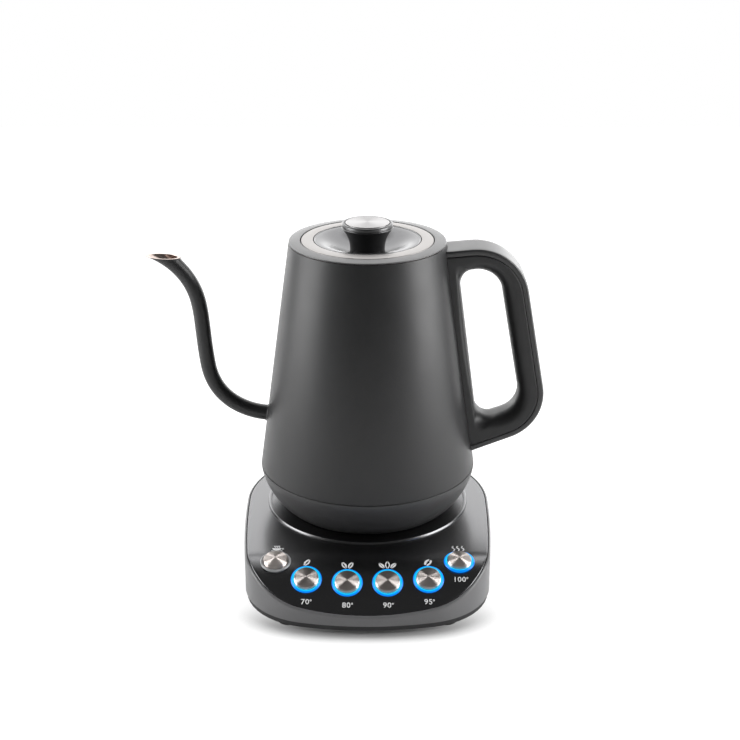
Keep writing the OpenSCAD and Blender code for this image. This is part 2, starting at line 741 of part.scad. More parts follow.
module lid_dish() {
  steps = [for (i = [0 : 10]) dish_foot + (dish_r - 0.05 - dish_foot) * i / 10];
  t = 1;
  color("#1f1f20") seated() difference() {
    rotate_extrude() polygon(concat(
      [[3, lid_z - dish_depth]], [for (r = steps) [r, dish_at(r) + 0.05]],
      [for (i = [10 : -1 : 0]) [steps[i], dish_at(steps[i]) - t]], [[3, lid_z - dish_depth - t]]));
    for (a = [75, 90, 105]) rotate([0, 0, a]) translate([19, 0, lid_z - 12])
      cylinder(r = 1.1, h = 12, $fn = 24);
  }
}

plug_low = neck_z - 14;

module lid_plug() {
  color("#1c1c1d") seated() difference() {
    union() {
      translate([0, 0, plug_low]) cylinder(r = 37.6, h = lid_z - 1.1 - plug_low);
      translate([0, 0, lid_z - 2.3]) cylinder(r = 39.6, h = 1.2);
    }
    translate([0, 0, plug_low + 1.6]) cylinder(r = 36, h = 30);
    translate([0, 0, plug_low + 5]) difference() {
      cylinder(r = 50, h = 3);
      translate([0, 0, -1]) cylinder(r = 36.8, h = 5);
    }
    translate([0, 0, plug_low - 1]) cylinder(r = 2.2, h = 5, $fn = 32);
    for (a = [0 : 30 : 330]) rotate([0, 0, a]) translate([24, 0, plug_low - 1])
      cylinder(r = 1.8, h = 5, $fn = 24);
  }
}

module lid_gasket() {
  color("#c9c9c4") seated() translate([0, 0, plug_low]) rotate_extrude() polygon([
    [36.85, 5.1], [37.7, 5.1], [38.5, 6], [38.5, 6.6], [37.7, 7.9], [36.85, 7.9]]);
}

knob_rim_z = lid_z + knob_h;

module knob() {
  stem_low = lid_z - dish_depth;
  stem_h = knob_rim_z - 5.9 - stem_low;
  color("#202021") seated() difference() {
    union() {
      rotate_extrude() polygon(concat(
        [[0, stem_low + 0.2], [dish_foot + 1.6, stem_low + 0.2]],
        [for (i = [0 : 10]) let (t = i / 10)
          [10.1 + 2.8 * pow(t, 2.2) + 0.5 * pow(1 - t, 4), stem_low + 1 + stem_h * t]],
        [[13.2, knob_rim_z - 3.6], [knob_r - 0.6, knob_rim_z - 3.2], [knob_r, knob_rim_z - 2.6],
          [knob_r, knob_rim_z - 0.8], [knob_r - 0.8, knob_rim_z], [13.6, knob_rim_z],
          [13.6, knob_rim_z - 1], [0, knob_rim_z - 1]]));
      translate([0, 0, plug_low + 1.7]) cylinder(r = 2.9, h = stem_low - plug_low - 1.5, $fn = 32);
    }
    translate([0, 0, plug_low - 1]) cylinder(r = 1.6, h = 16, $fn = 24);
  }
}

module knob_inlay() {
  color("#c4c6c8") seated() translate([0, 0, knob_rim_z - 1]) rotate_extrude() polygon([
    [0, 0.05], [13.4, 0.05], [13.4, 1.5], [13, 1.9], [12.4, 1.9], [0, 1.5]]);
}

// Screw that comes up through the plug's floor and draws the knob down.
module knob_screw() {
  color("#9a9ea3") seated() translate([0, 0, plug_low]) {
    translate([0, 0, -1.5]) cylinder(r = 3.4, h = 1.5, $fn = 32);
    cylinder(r = 1.5, h = 13, $fn = 24);
  }
}

base_pan();
base_shell();
base_top();
seat_plate();
rubber_feet();
base_screws();
cord_gland();
turret_housing();
turret_wires();
power_board();
board_relay();
board_transformer();
board_capacitors();
buzzer();
ribbon_cable();
control_boards();
tact_switches();
ring_leds();
light_rings();
warm_ring();
turret_cap();
turret_contacts();
turret_clip();
button_cap(0);  // button_1_cap
button_cap(1);  // button_2_cap
button_cap(2);  // button_3_cap
button_cap(3);  // button_4_cap
button_cap(4);  // button_5_cap
button_cap(5);  // button_6_cap
button_stem(0);  // button_1_stem
button_stem(1);  // button_2_stem
button_stem(2);  // button_3_stem
button_stem(3);  // button_4_stem
button_stem(4);  // button_5_stem
button_stem(5);  // button_6_stem
vessel();
vessel_floor();
top_collar();
bottom_housing();
seam_gasket();
heat_spreader();
heating_element();
thermostats();
temperature_probe();
probe_seal();
socket_housing();
socket_contacts();
housing_screws();
spout_tube();
handle_body();
handle_cover();
handle_brackets();
handle_screws();
lid_ring();
lid_dish();
lid_plug();
lid_gasket();
knob();
knob_inlay();
knob_screw();
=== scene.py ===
"""Gooseneck kettle on its power base: the finishes, the detailed pieces, the camera and the light.

Lengths are in metres in the frame's own axes: +X to the handle, -Y to the buttons, +Z up."""

import json
import math

import bmesh
import bpy
from mathutils import Matrix, Vector

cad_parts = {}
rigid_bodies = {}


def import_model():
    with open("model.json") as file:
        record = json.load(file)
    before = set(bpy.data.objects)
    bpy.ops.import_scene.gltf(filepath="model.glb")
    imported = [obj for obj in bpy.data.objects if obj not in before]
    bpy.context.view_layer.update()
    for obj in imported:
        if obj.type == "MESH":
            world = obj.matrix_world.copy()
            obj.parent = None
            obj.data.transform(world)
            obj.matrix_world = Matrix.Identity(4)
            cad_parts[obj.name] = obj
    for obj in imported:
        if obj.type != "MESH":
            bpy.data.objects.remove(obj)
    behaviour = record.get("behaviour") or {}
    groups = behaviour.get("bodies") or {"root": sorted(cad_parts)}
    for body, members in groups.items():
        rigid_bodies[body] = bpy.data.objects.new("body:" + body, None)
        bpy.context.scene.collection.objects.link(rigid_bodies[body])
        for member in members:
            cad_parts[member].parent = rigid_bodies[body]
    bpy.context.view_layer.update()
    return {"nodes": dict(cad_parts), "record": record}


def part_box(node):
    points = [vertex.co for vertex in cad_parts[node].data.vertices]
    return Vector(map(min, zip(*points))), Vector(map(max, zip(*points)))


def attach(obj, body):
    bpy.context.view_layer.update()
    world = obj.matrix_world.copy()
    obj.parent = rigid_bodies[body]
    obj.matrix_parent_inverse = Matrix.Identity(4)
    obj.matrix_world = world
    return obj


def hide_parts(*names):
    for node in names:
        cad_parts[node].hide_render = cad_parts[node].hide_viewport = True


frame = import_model()
nodes = frame["nodes"]
MM = 0.001


# ---------- camera ----------

CAMERA_PLACE = Vector((1.55, -885.5, 472.9)) * MM
CAMERA_DIP = math.radians(21.654)  # how far the camera looks down
LENS = 72.97  # millimetres, on the usual 36 mm sensor


def place_camera():
    data = bpy.data.cameras.new("camera")
    data.lens = LENS
    data.sensor_width = 36
    camera = bpy.data.objects.new("camera", data)
    camera.location = CAMERA_PLACE
    camera.rotation_euler = (math.pi / 2 - CAMERA_DIP, 0, 0)
    bpy.context.scene.collection.objects.link(camera)
    bpy.context.scene.camera = camera


# ---------- shader maths ----------


class Wire:
    """A number, colour or vector that comes out of a node. Arithmetic on it adds Math nodes."""

    def __init__(self, graph, socket):
        self.graph = graph
        self.socket = socket

    def maths(self, operation, *values):
        return self.graph.add("ShaderNodeMath", {"operation": operation}, dict(enumerate(values)))

    def __add__(self, other):
        return self.maths("ADD", self, other)

    def __sub__(self, other):
        return self.maths("SUBTRACT", self, other)

    def __rsub__(self, other):
        return self.maths("SUBTRACT", other, self)

    def __mul__(self, other):
        return self.maths("MULTIPLY", self, other)

    def __pow__(self, other):
        return self.maths("POWER", self, other)

    __radd__ = __add__
    __rmul__ = __mul__

    def rise(self, start, end):
        """0 up to start, 1 from end on, and a soft ramp in between."""
        settings = {"interpolation_type": "SMOOTHSTEP", "clamp": True}
        inputs = {"Value": self, "From Min": start, "From Max": end}
        return self.graph.add("ShaderNodeMapRange", settings, inputs)


class Graph:
    """The nodes of one material or world, and the one way to add to them."""

    def __init__(self, owner):
        owner.use_nodes = True
        self.tree = owner.node_tree

    def join(self, value, socket):
        if isinstance(value, Wire):
            self.tree.links.new(value.socket, socket)
        else:
            socket.default_value = value

    def add(self, kind, settings=None, inputs=None, output=0):
        """Any node: its settings are set first, then the values or links of its sockets."""
        node = self.tree.nodes.new(kind)
        for key, value in (settings or {}).items():
            setattr(node, key, value)
        for key, value in (inputs or {}).items():
            self.join(value, node.inputs[key])
        return Wire(self, node.outputs[output])

    def out_of(self, node_name):
        """What comes out of a node that was there from the start."""
        return Wire(self, self.tree.nodes[node_name].outputs[0])

    def show_by_camera(self, plain, seen, share, end):
        """Shows the second shader instead of the first by a share, at the end node."""
        surface = self.add("ShaderNodeMixShader", inputs={0: share, 1: plain, 2: seen})
        self.join(surface, self.tree.nodes[end].inputs["Surface"])


class Finish(Graph):
    """A material with one Principled shader and the nodes that feed it."""

    def __init__(self, name, colour, roughness, metal=0.0, specular=0.5, anisotropic=0.0):
        self.material = bpy.data.materials.new(name)
        super().__init__(self.material)
        self.shader = self.tree.nodes["Principled BSDF"]
        self.set("Base Color", self.colour(colour))
        self.set("Roughness", roughness)
        self.set("Metallic", metal)
        self.set("Specular IOR Level", specular)
        self.set("Anisotropic", anisotropic)

    def set(self, name, value):
        self.join(value, self.shader.inputs[name])

    def point(self):
        """Where a point is on its own object."""
        return self.add("ShaderNodeTexCoord", output="Object")

    def place(self):
        """The same, split into x, y and z."""
        split = self.add("ShaderNodeSeparateXYZ", inputs={"Vector": self.point()})
        return [Wire(self, s) for s in split.socket.node.outputs]

    def radius(self):
        x, y, _ = self.place()
        return (x * x + y * y) ** 0.5

    def stretched(self, *scale):
        return self.add("ShaderNodeMapping", inputs={"Vector": self.point(), "Scale": scale})

    def noise(self, scale, detail, where=None):
        inputs = {"Vector": where or self.point(), "Scale": scale, "Detail": detail}
        return self.add("ShaderNodeTexNoise", inputs=inputs)

    def grain_on(self, value, scale):
        """Noise along one number only, such as a radius: fine lines where that number is constant."""
        inputs = {"W": value, "Scale": scale, "Detail": 3}
        return self.add("ShaderNodeTexNoise", {"noise_dimensions": "1D"}, inputs)

    def mix(self, factor, a, b):
        inputs = {0: factor, 6: self.colour(a), 7: self.colour(b)}
        return self.add("ShaderNodeMix", {"data_type": "RGBA"}, inputs, output=2)

    def colour(self, value):
        return value if isinstance(value, Wire) else (*value, 1)

    def bump(self, height, depth):
        inputs = {"Height": height, "Distance": depth * MM, "Strength": 1}
        self.set("Normal", self.add("ShaderNodeBump", inputs=inputs))


# ---------- finishes, one for each slot of the record ----------

GRAIN_DARK, GRAIN_PALE = 0.82, 1.18  # how far the grain darkens and lightens a moulded colour
PATCHES = 60  # scale of the slow change in a moulded surface's gloss
DRAWN_LAY, DRAWN_DEPTH, DRAWN_CHANGE = 900, 0.004, 0.12
SPUN_DARK = 0.88
RING_DEEP, RING_PALE = (0.0, 0.22, 0.9), (0.01, 0.66, 1.0)
RING_LINE = (7.4, 7.8, 8.1, 9.0)  # radii where the pale line starts, is full, fades, and ends
RING_GLOW = 0.92


def moulded(name, colour, roughness, grain=2200, depth=0.02, patchy=0.1, **rest):
    """Moulded plastic, rubber or powder coat: a fine grain and slightly uneven gloss."""
    finish = Finish(name, colour, roughness, **rest)
    fine = finish.noise(grain, 3)
    dark, pale = ([c * tone for c in colour] for tone in (GRAIN_DARK, GRAIN_PALE))
    finish.set("Roughness", roughness + (finish.noise(PATCHES, 2) - 0.5) * patchy)
    finish.set("Base Color", finish.mix(fine, dark, pale))
    finish.bump(fine, depth)
    return finish


def drawn_metal(name, colour, roughness):
    """Plain rolled or drawn metal with a faint lay along its length."""
    finish = Finish(name, colour, roughness, metal=1.0)
    lay = finish.noise(DRAWN_LAY, 2, finish.stretched(1, 1, 0.1))
    finish.set("Roughness", roughness + (lay - 0.5) * DRAWN_CHANGE)
    finish.bump(lay, DRAWN_DEPTH)
    return finish


def spun_metal(name, colour, roughness, pitch=0.28, anisotropic=1.0, turn=0.0):
    """Metal turned on a lathe: rings too fine to see one by one, which fan the light out."""
    finish = Finish(name, colour, roughness, metal=1.0, anisotropic=anisotropic)
    finish.set("Anisotropic Rotation", turn)
    rings = finish.grain_on(finish.radius(), 1 / (pitch * MM))
    finish.set("Base Color", finish.mix(rings, [c * SPUN_DARK for c in colour], colour))
    finish.bump(rings, 0.004)
    return finish


def lit_ring(name, colour, roughness):
    """Clear plastic ring lit from below: deep blue with a paler line near its inner edge."""
    finish = Finish(name, colour, roughness, specular=0.3)
    radius = finish.radius()
    start, full, fade, end = (r * MM for r in RING_LINE)
    line = radius.rise(start, full) * (1 - radius.rise(fade, end))
    finish.set("Emission Color", finish.mix(line, RING_DEEP, RING_PALE))
    finish.set("Emission Strength", RING_GLOW)
    return finish


# Each finish: how it is made, its colour, its roughness, and what else sets it apart.
FINISHES = {
    "black_coat": (moulded, (0.018, 0.018, 0.0187), 0.42, {"grain": 1500, "depth": 0.012}),
    "collar_coat": (moulded, (0.11, 0.11, 0.112), 0.38, {"grain": 1500, "depth": 0.002, "specular": 0.8}),
    "housing_plastic": (moulded, (0.042, 0.042, 0.043), 0.45, {}),
    "handle_plastic": (moulded, (0.018, 0.018, 0.0185), 0.42, {"depth": 0.015}),
    "cover_plastic": (moulded, (0.024, 0.024, 0.0245), 0.36, {"depth": 0.006, "specular": 0.75}),
    "knob_plastic": (moulded, (0.014, 0.014, 0.0145), 0.38, {"depth": 0.01}),
    "knob_rim": (moulded, (0.14, 0.14, 0.142), 0.34, {"depth": 0.002, "metal": 1}),
    "dish_coat": (moulded, (0.145, 0.145, 0.148), 0.28, {"depth": 0.002, "patchy": 0.03, "metal": 1}),
    "panel_plastic": (
        moulded, (0.175, 0.175, 0.179), 0.25, {"grain": 3000, "depth": 0.0004, "patchy": 0.03, "metal": 1}
    ),
    # painted shade: a near-black finish for the seat groove's walls and floor, which are the same plastic as
    # the seat around them
    "groove_black": (moulded, (0.006, 0.006, 0.006), 0.6, {}),
    "shell_plastic": (moulded, (0.14, 0.14, 0.143), 0.3, {"depth": 0.003}),
    "pan_plastic": (moulded, (0.015, 0.015, 0.016), 0.55, {}),
    "turret_plastic": (moulded, (0.006, 0.006, 0.0063), 0.22, {"depth": 0.002}),
    "turret_matte": (moulded, (0.005, 0.005, 0.005), 0.6, {"specular": 0.2}),
    "ring_white": (moulded, (0.85, 0.85, 0.85), 0.4, {"depth": 0.004}),
    "ring_grey": (moulded, (0.32, 0.325, 0.33), 0.25, {"depth": 0.004}),
    "light_blue": (lit_ring, (0.0, 0.06, 0.25), 0.25, {}),
    "lid_steel": (spun_metal, (0.40, 0.385, 0.375), 0.45, {"anisotropic": 0}),
    "cap_steel": (spun_metal, (0.86, 0.79, 0.75), 0.47, {"pitch": 0.2, "turn": 0.25}),
    "spun_aluminium": (spun_metal, (0.345, 0.338, 0.338), 0.3, {"anisotropic": 0.85, "turn": 0.25}),
    "plain_steel": (drawn_metal, (0.60, 0.60, 0.61), 0.32, {}),
    "bare_steel": (drawn_metal, (0.52, 0.43, 0.39), 0.3, {}),
    "aluminium_plate": (drawn_metal, (0.75, 0.76, 0.77), 0.45, {}),
    "contact_brass": (drawn_metal, (0.46, 0.45, 0.44), 0.3, {}),
    "rubber_black": (moulded, (0.012, 0.012, 0.012), 0.7, {}),
    "silicone": (moulded, (0.55, 0.55, 0.53), 0.55, {}),
    "circuit_board": (moulded, (0.02, 0.13, 0.05), 0.35, {}),
    "electronics_dark": (moulded, (0.03, 0.03, 0.034), 0.45, {}),
    "relay_blue": (moulded, (0.04, 0.12, 0.42), 0.35, {}),
    "transformer_yellow": (moulded, (0.6, 0.42, 0.06), 0.5, {}),
    "wire_jacket": (moulded, (0.5, 0.09, 0.03), 0.45, {}),
}


def make_finishes():
    made = {}
    for name, (make, colour, roughness, more) in FINISHES.items():
        made[name] = make(name, colour, roughness, **more).material
    return made


def dress_cad(finishes):
    for row in frame["record"]["subparts"]:
        node = nodes[row["node"]]
        node.data.materials.clear()
        node.data.materials.append(finishes[row["material_slot"]])


# ---------- outlines and meshes ----------
# Lengths below are in millimetres; a mesh is scaled to metres as it is made.


def low(node):
    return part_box(node)[0] / MM


def high(node):
    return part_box(node)[1] / MM


def polar(radius, degrees):
    turn = math.radians(degrees)
    return Vector((radius * math.cos(turn), radius * math.sin(turn)))


def moved(x=0.0, y=0.0, z=0.0):
    return Matrix.Translation((x * MM, y * MM, z * MM))


def quarter_turn(axis):
    return Matrix.Rotation(-math.pi / 2, 4, axis)


def arc(centre, radius, start, end, steps):
    """Points on an arc between two angles in degrees, without its last point."""
    return [Vector(centre) + polar(radius, start + (end - start) * i / steps) for i in range(steps)]


def corner_arc(before, corner, after, radius, steps, share=0.48):
    """A corner turned into an arc that takes no more than a share of each of its sides."""
    u, v = (before - corner), (after - corner)
    room = share * min(u.length, v.length)
    u.normalize()
    v.normalize()
    half = u.angle(v) / 2
    if radius <= 0 or half > math.radians(89):
        return [corner.copy()]
    radius = min(radius, room * math.tan(half))
    centre = corner + (u + v).normalized() * radius / math.sin(half)
    start = corner + u * radius / math.tan(half) - centre
    end = corner + v * radius / math.tan(half) - centre
    turn = math.atan2(start.x * end.y - start.y * end.x, start.dot(end))
    return [centre + Matrix.Rotation(turn * i / steps, 2) @ start for i in range(steps + 1)]


def softened(points, radius=0.3, steps=3):
    """A closed outline with small arcs for corners; a point's third number is a radius of its own."""
    flat = [Vector(p[:2]) for p in points]
    made = []
    for i, point in enumerate(points):
        own = point[2] if len(point) > 2 else radius
        if point[0] == 0:
            own = 0
        made += corner_arc(flat[i - 1], flat[i], flat[(i + 1) % len(flat)], own, steps)
    return made


def finished_mesh(name, points, faces, sharp=35, skins=None):
    """A mesh from points in millimetres, smooth except where it turns by more than sharp degrees."""
    mesh = bpy.data.meshes.new(name)
    mesh.from_pydata([Vector(p) * MM for p in points], [], faces)
    if skins:
        mesh.polygons.foreach_set("material_index", skins)
    tidy_mesh(mesh, sharp)
    return mesh


def tidy_mesh(mesh, sharp=35):
    """Joins double points, turns every face outwards and marks the sharp edges."""
    bm = bmesh.new()
    bm.from_mesh(mesh)
    bmesh.ops.remove_doubles(bm, verts=bm.verts, dist=0.002 * MM)
    bmesh.ops.dissolve_degenerate(bm, edges=bm.edges, dist=0.001 * MM)
    bmesh.ops.recalc_face_normals(bm, faces=bm.faces)
    bm.to_mesh(mesh)
    bm.free()
    mesh.polygons.foreach_set("use_smooth", [True] * len(mesh.polygons))
    mesh.set_sharp_from_angle(angle=math.radians(sharp))


def woven_mesh(name, rings, sharp=35, ends=False, skin_from=None):
    """A mesh between neighbouring rings of equally many points. The last ring joins the first one,
    or, with ends, both are closed by a face. The second finish starts at the ring skin_from."""
    count, size = len(rings), len(rings[0])
    faces = []
    for i in range(count - 1 if ends else count):
        j = (i + 1) % count
        for k in range(size):
            m = (k + 1) % size
            faces.append((i * size + k, i * size + m, j * size + m, j * size + k))
    if ends:
        faces += [tuple(range(size)), tuple(range((count - 1) * size, count * size))]
    skins = None if skin_from is None else [int(i // size >= skin_from) for i in range(len(faces))]
    return finished_mesh(name, [p for ring in rings for p in ring], faces, sharp, skins)


def turned_mesh(name, profile, sides=192):
    """A closed profile of (radius, height) turned about Z."""
    points, rings = [], []
    for radius, height in profile:
        if radius < 1e-4:
            points.append((0, 0, height))
            rings.append([len(points) - 1] * sides)
            continue
        first = len(points)
        for k in range(sides):
            spot = polar(radius, 360 * k / sides)
            points.append((spot.x, spot.y, height))
        rings.append(list(range(first, first + sides)))
    faces = []
    for i, ring in enumerate(rings):
        after = rings[(i + 1) % len(rings)]
        for k in range(sides):
            m = (k + 1) % sides
            corners = dict.fromkeys((ring[k], ring[m], after[m], after[k]))
            if len(corners) > 2:
                faces.append(tuple(corners))
    return finished_mesh(name, points, faces)


def second_finish(mesh, where):
    """Gives the second finish to the faces whose middle is where the test of radius and height says."""
    for face in mesh.polygons:
        x, y, z = face.center / MM
        face.material_index = 1 if where(math.hypot(x, y), z) else 0


def piece(mesh, body, slot, replaces=(), place=None, skins=None):
    """Puts a mesh in the scene on its body, in place of the solids it stands for."""
    obj = bpy.data.objects.new(mesh.name, mesh)
    bpy.context.scene.collection.objects.link(obj)
    if place:
        obj.matrix_world = place
    for name in skins or [slot]:
        mesh.materials.append(finishes[name])
    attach(obj, body)
    if replaces:
        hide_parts(*replaces)


def turned(name, profile, body, slot, replaces=(), place=None, round_by=0.3, sides=192, skins=None):
    piece(turned_mesh(name, softened(profile, round_by), sides), body, slot, replaces, place, skins)


def settled_mesh(obj):
    """The mesh an object comes to with its modifiers, or a text's mesh; the object itself goes."""
    evaluated = obj.evaluated_get(bpy.context.evaluated_depsgraph_get())
    mesh = bpy.data.meshes.new_from_object(evaluated)
    bpy.data.objects.remove(obj)
    return mesh


def cut(mesh, cutters):
    """Takes closed cutter meshes out of a mesh."""
    scene = bpy.context.scene.collection.objects
    obj = bpy.data.objects.new("cutting", mesh)
    scene.link(obj)
    tools = []
    for cutter in cutters:
        tool = bpy.data.objects.new("cutter", cutter)
        scene.link(tool)
        tools.append(tool)
        modifier = obj.modifiers.new("cut", "BOOLEAN")
        modifier.object = tool
        modifier.solver = "EXACT"
    made = settled_mesh(obj)
    made.name = mesh.name
    for tool in tools:
        bpy.data.objects.remove(tool)
    made.materials.clear()
    tidy_mesh(made)
    return made


def drill(radius, start, end, place=Matrix.Identity(4), sides=96):
    """A cylinder along the place's own Z, to cut with."""
    mesh = turned_mesh("drill", [(0, start), (radius, start), (radius, end), (0, end)], sides)
    mesh.transform(place)
    return mesh


# ---------- the base's outline and its top surface ----------

BASE_R = high("base_shell").x
BASE_FRONT = -low("base_shell").y
TOP_Z = high("base_top").z
SIDE_R, CORNER_R, FRONT_R = 790, 46, 174
PANEL_TILT = math.radians(30)
BEND_R, BEND_START = 50, 73
PANEL_T = 2.4
RIM_W = 1.2  # width of the wall's rim round the panel
PANEL_INSET = 1.6  # the panel starts here, past the rim and a thin gap
WALL_LOW = low("base_shell").z


def meet(p, a, q, b):
    """The lower of the two points that lie at distance a from p and b from q."""
    apart = q - p
    length = apart.length
    along = apart / length
    s = (a * a - b * b + length * length) / (2 * length)
    return p + s * along - math.sqrt(a * a - s * s) * Vector((-along.y, along.x))


SIDE_C = Vector((BASE_R - SIDE_R, 0))
FRONT_C = Vector((0, FRONT_R - BASE_FRONT))
CORNER_C = meet(SIDE_C, SIDE_R - CORNER_R, FRONT_C, FRONT_R - CORNER_R)
SIDE_END = math.degrees(math.atan2(*(CORNER_C - SIDE_C).yx))
FRONT_END = math.degrees(math.atan2(*(CORNER_C - FRONT_C).yx))


def base_outline(inset):
    """The base's outline seen from above, moved inwards: the right half and its mirror image."""
    right = arc((0, 0), BASE_R - inset, 90, 0, 48)
    right += arc(SIDE_C, SIDE_R - inset, 0, SIDE_END, 16)
    right += arc(CORNER_C, CORNER_R - inset, SIDE_END, FRONT_END, 32)
    right += arc(FRONT_C, FRONT_R - inset, FRONT_END, -90, 16)
    right.append(Vector((0, inset - BASE_FRONT)))
    return right + [Vector((-p.x, p.y)) for p in right[-2:0:-1]]


def top_height(y, drop=0.0):
    """Height of the top surface at y, lowered by drop along its own normal."""
    radius = BEND_R - drop
    past = -y - BEND_START
    bend = radius * math.sin(PANEL_TILT)
    if past <= 0:
        return TOP_Z - drop
    if past < bend:
        return TOP_Z - BEND_R + math.sqrt(radius * radius - past * past)
    return TOP_Z - BEND_R + radius * math.cos(PANEL_TILT) - (past - bend) * math.tan(PANEL_TILT)


def on_panel(x, y):
    """Where a button stands: +Z along the top surface's normal."""
    past = -y - BEND_START
    lean = min(PANEL_TILT, math.asin(min(1, max(0, past / BEND_R))))
    return Matrix.Translation(Vector((x, y, top_height(y))) * MM) @ Matrix.Rotation(lean, 4, "X")


def panel_point(x, along, rise):
    """A point by its distance along the surface from the bend's start (frontwards) and its rise."""
    bend = BEND_R * PANEL_TILT
    if along <= 0:
        return Vector((x, -BEND_START - along, TOP_Z + rise))
    lean = min(along / BEND_R, PANEL_TILT)
    normal = Vector((0, -math.sin(lean), math.cos(lean)))
    down = Vector((0, -math.cos(lean), -math.sin(lean)))
    foot = Vector((x, -BEND_START, TOP_Z - BEND_R)) + normal * BEND_R
    return foot + down * max(0, along - bend) + normal * rise


def level_ring(inset, height):
    return [(p.x, p.y, height) for p in base_outline(inset)]


def surface_ring(inset, drop):
    return [(p.x, p.y, top_height(p.y, drop)) for p in base_outline(inset)]


def eased_edge(inset, drop, radius, inner=False, steps=5):
    """Rings that round the edge between an upright side at inset and the surface at drop."""
    rings = []
    for i in range(steps + 1):
        turn = math.pi / 2 * i / steps
        side, fall = radius * (1 - math.cos(turn)), radius * (1 - math.sin(turn))
        rings.append(surface_ring(inset - side if inner else inset + side, drop + fall))
    return rings[::-1] if inner else rings


# ---------- base pieces ----------

BUTTONS = [(-55.6, -84), (-36.6, -97), (-12.1, -99), (12.1, -99), (36.6, -97), (55.6, -84)]
SEAT_R = high("seat_plate").x
SEAT_HOLE = SEAT_R - 2.4
INLET_Z, INLET_R = 14, 6.1
BUTTON_HOLE_R = 9
PANEL_ROWS = 40  # rows of faces between the panel's border and the seat's hole
WALL_FOOT = ((0.5, 0), (0.15, 0.1), (0, 0.5))  # inset and height of its eased foot
RIM_OUTER_EASE, RIM_INNER_EASE, LEDGE_INSET = 0.85, 0.15, 2.9


def make_panel():
    """Top panel: an eased border, the flat, the bend down to the buttons, and its openings."""
    ease = 0.5
    outer = base_outline(PANEL_INSET + ease)

    def towards_seat(share, drop):
        ring = []
        for p in outer:
            spot = p.lerp(p.normalized() * SEAT_HOLE, share)
            ring.append((spot.x, spot.y, top_height(spot.y, drop)))
        return ring

    rings = [surface_ring(PANEL_INSET, PANEL_T)]
    rings += eased_edge(PANEL_INSET, 0, ease)
    rings += [towards_seat(i / PANEL_ROWS, 0) for i in range(1, PANEL_ROWS + 1)]
    rings += [towards_seat(i / PANEL_ROWS, PANEL_T) for i in range(PANEL_ROWS, 0, -1)]
    holes = [drill(BUTTON_HOLE_R, -6, 6, on_panel(x, y)) for x, y in BUTTONS]
    piece(cut(woven_mesh("panel", rings), holes), "base", "panel_plastic", ["base_top"])


def make_wall():
    """Outer wall: eased along its foot and its rim, with a ledge inside for the panel."""
    ledge = PANEL_T + 0.1
    rings = [level_ring(inset, WALL_LOW + up) for inset, up in WALL_FOOT]
    rings += eased_edge(0, 0, RIM_OUTER_EASE)
    rings += eased_edge(RIM_W, 0, RIM_INNER_EASE, inner=True, steps=3)
    rings += [surface_ring(RIM_W, ledge), surface_ring(LEDGE_INSET, ledge)]
    rings += [level_ring(LEDGE_INSET, WALL_LOW)]
    inlet = drill(INLET_R, BASE_R - 10, BASE_R + 10, moved(z=INLET_Z) @ quarter_turn("X"))
    piece(cut(woven_mesh("outer_wall", rings), [inlet]), "base", "shell_plastic", ["base_shell"])


SEAT_Z = 31.5
SEAT_LIP = SEAT_Z + 0.9
CONE_R, PLATEAU_R, PLATEAU_Z = 50, 36.7, 40
GROOVE_IN, GROOVE_OUT, GROOVE_DEPTH = 31.4, 32.6, 1.9
DRAIN_R = 53.5
DRAINS = (45.6, 134.4)  # degrees round the seat
SLOT_LENGTH, SLOT_WIDTH = 11, 5
# how far each line of the slot's lip lies out from the slot, and its height over the seat
SLOT_LIP = ((0.02, -0.6), (0.02, 0.2), (0.12, 0.35), (0.4, 0.35), (0.6, 0.2), (0.7, -0.1), (0.7, -0.6))


def slot_outline(grow):
    half = (SLOT_LENGTH - SLOT_WIDTH) / 2
    radius = SLOT_WIDTH / 2 + grow
    return arc((0, half), radius, 0, 180, 16) + arc((0, -half), radius, 180, 360, 16)


def slot_place(angle):
    return Matrix.Rotation(math.radians(angle), 4, "Z") @ moved(x=DRAIN_R)


def slot_cutter(angle):
    """A rounded slot, tangent to the seat, through the seat plate."""
    rings = [[(p.x, p.y, z) for p in slot_outline(0)] for z in (20, 40)]
    mesh = woven_mesh("slot", rings, ends=True)
    mesh.transform(slot_place(angle))
    return mesh


def make_slot_lip(number, angle):
    """The slot's small raised lip, which keeps drops out."""
    rings = [[(p.x, p.y, SEAT_Z + up) for p in slot_outline(grow)] for grow, up in SLOT_LIP]
    mesh = woven_mesh(f"drain_lip_{number}", rings, 50)
    piece(mesh, "base", "panel_plastic", place=slot_place(angle))


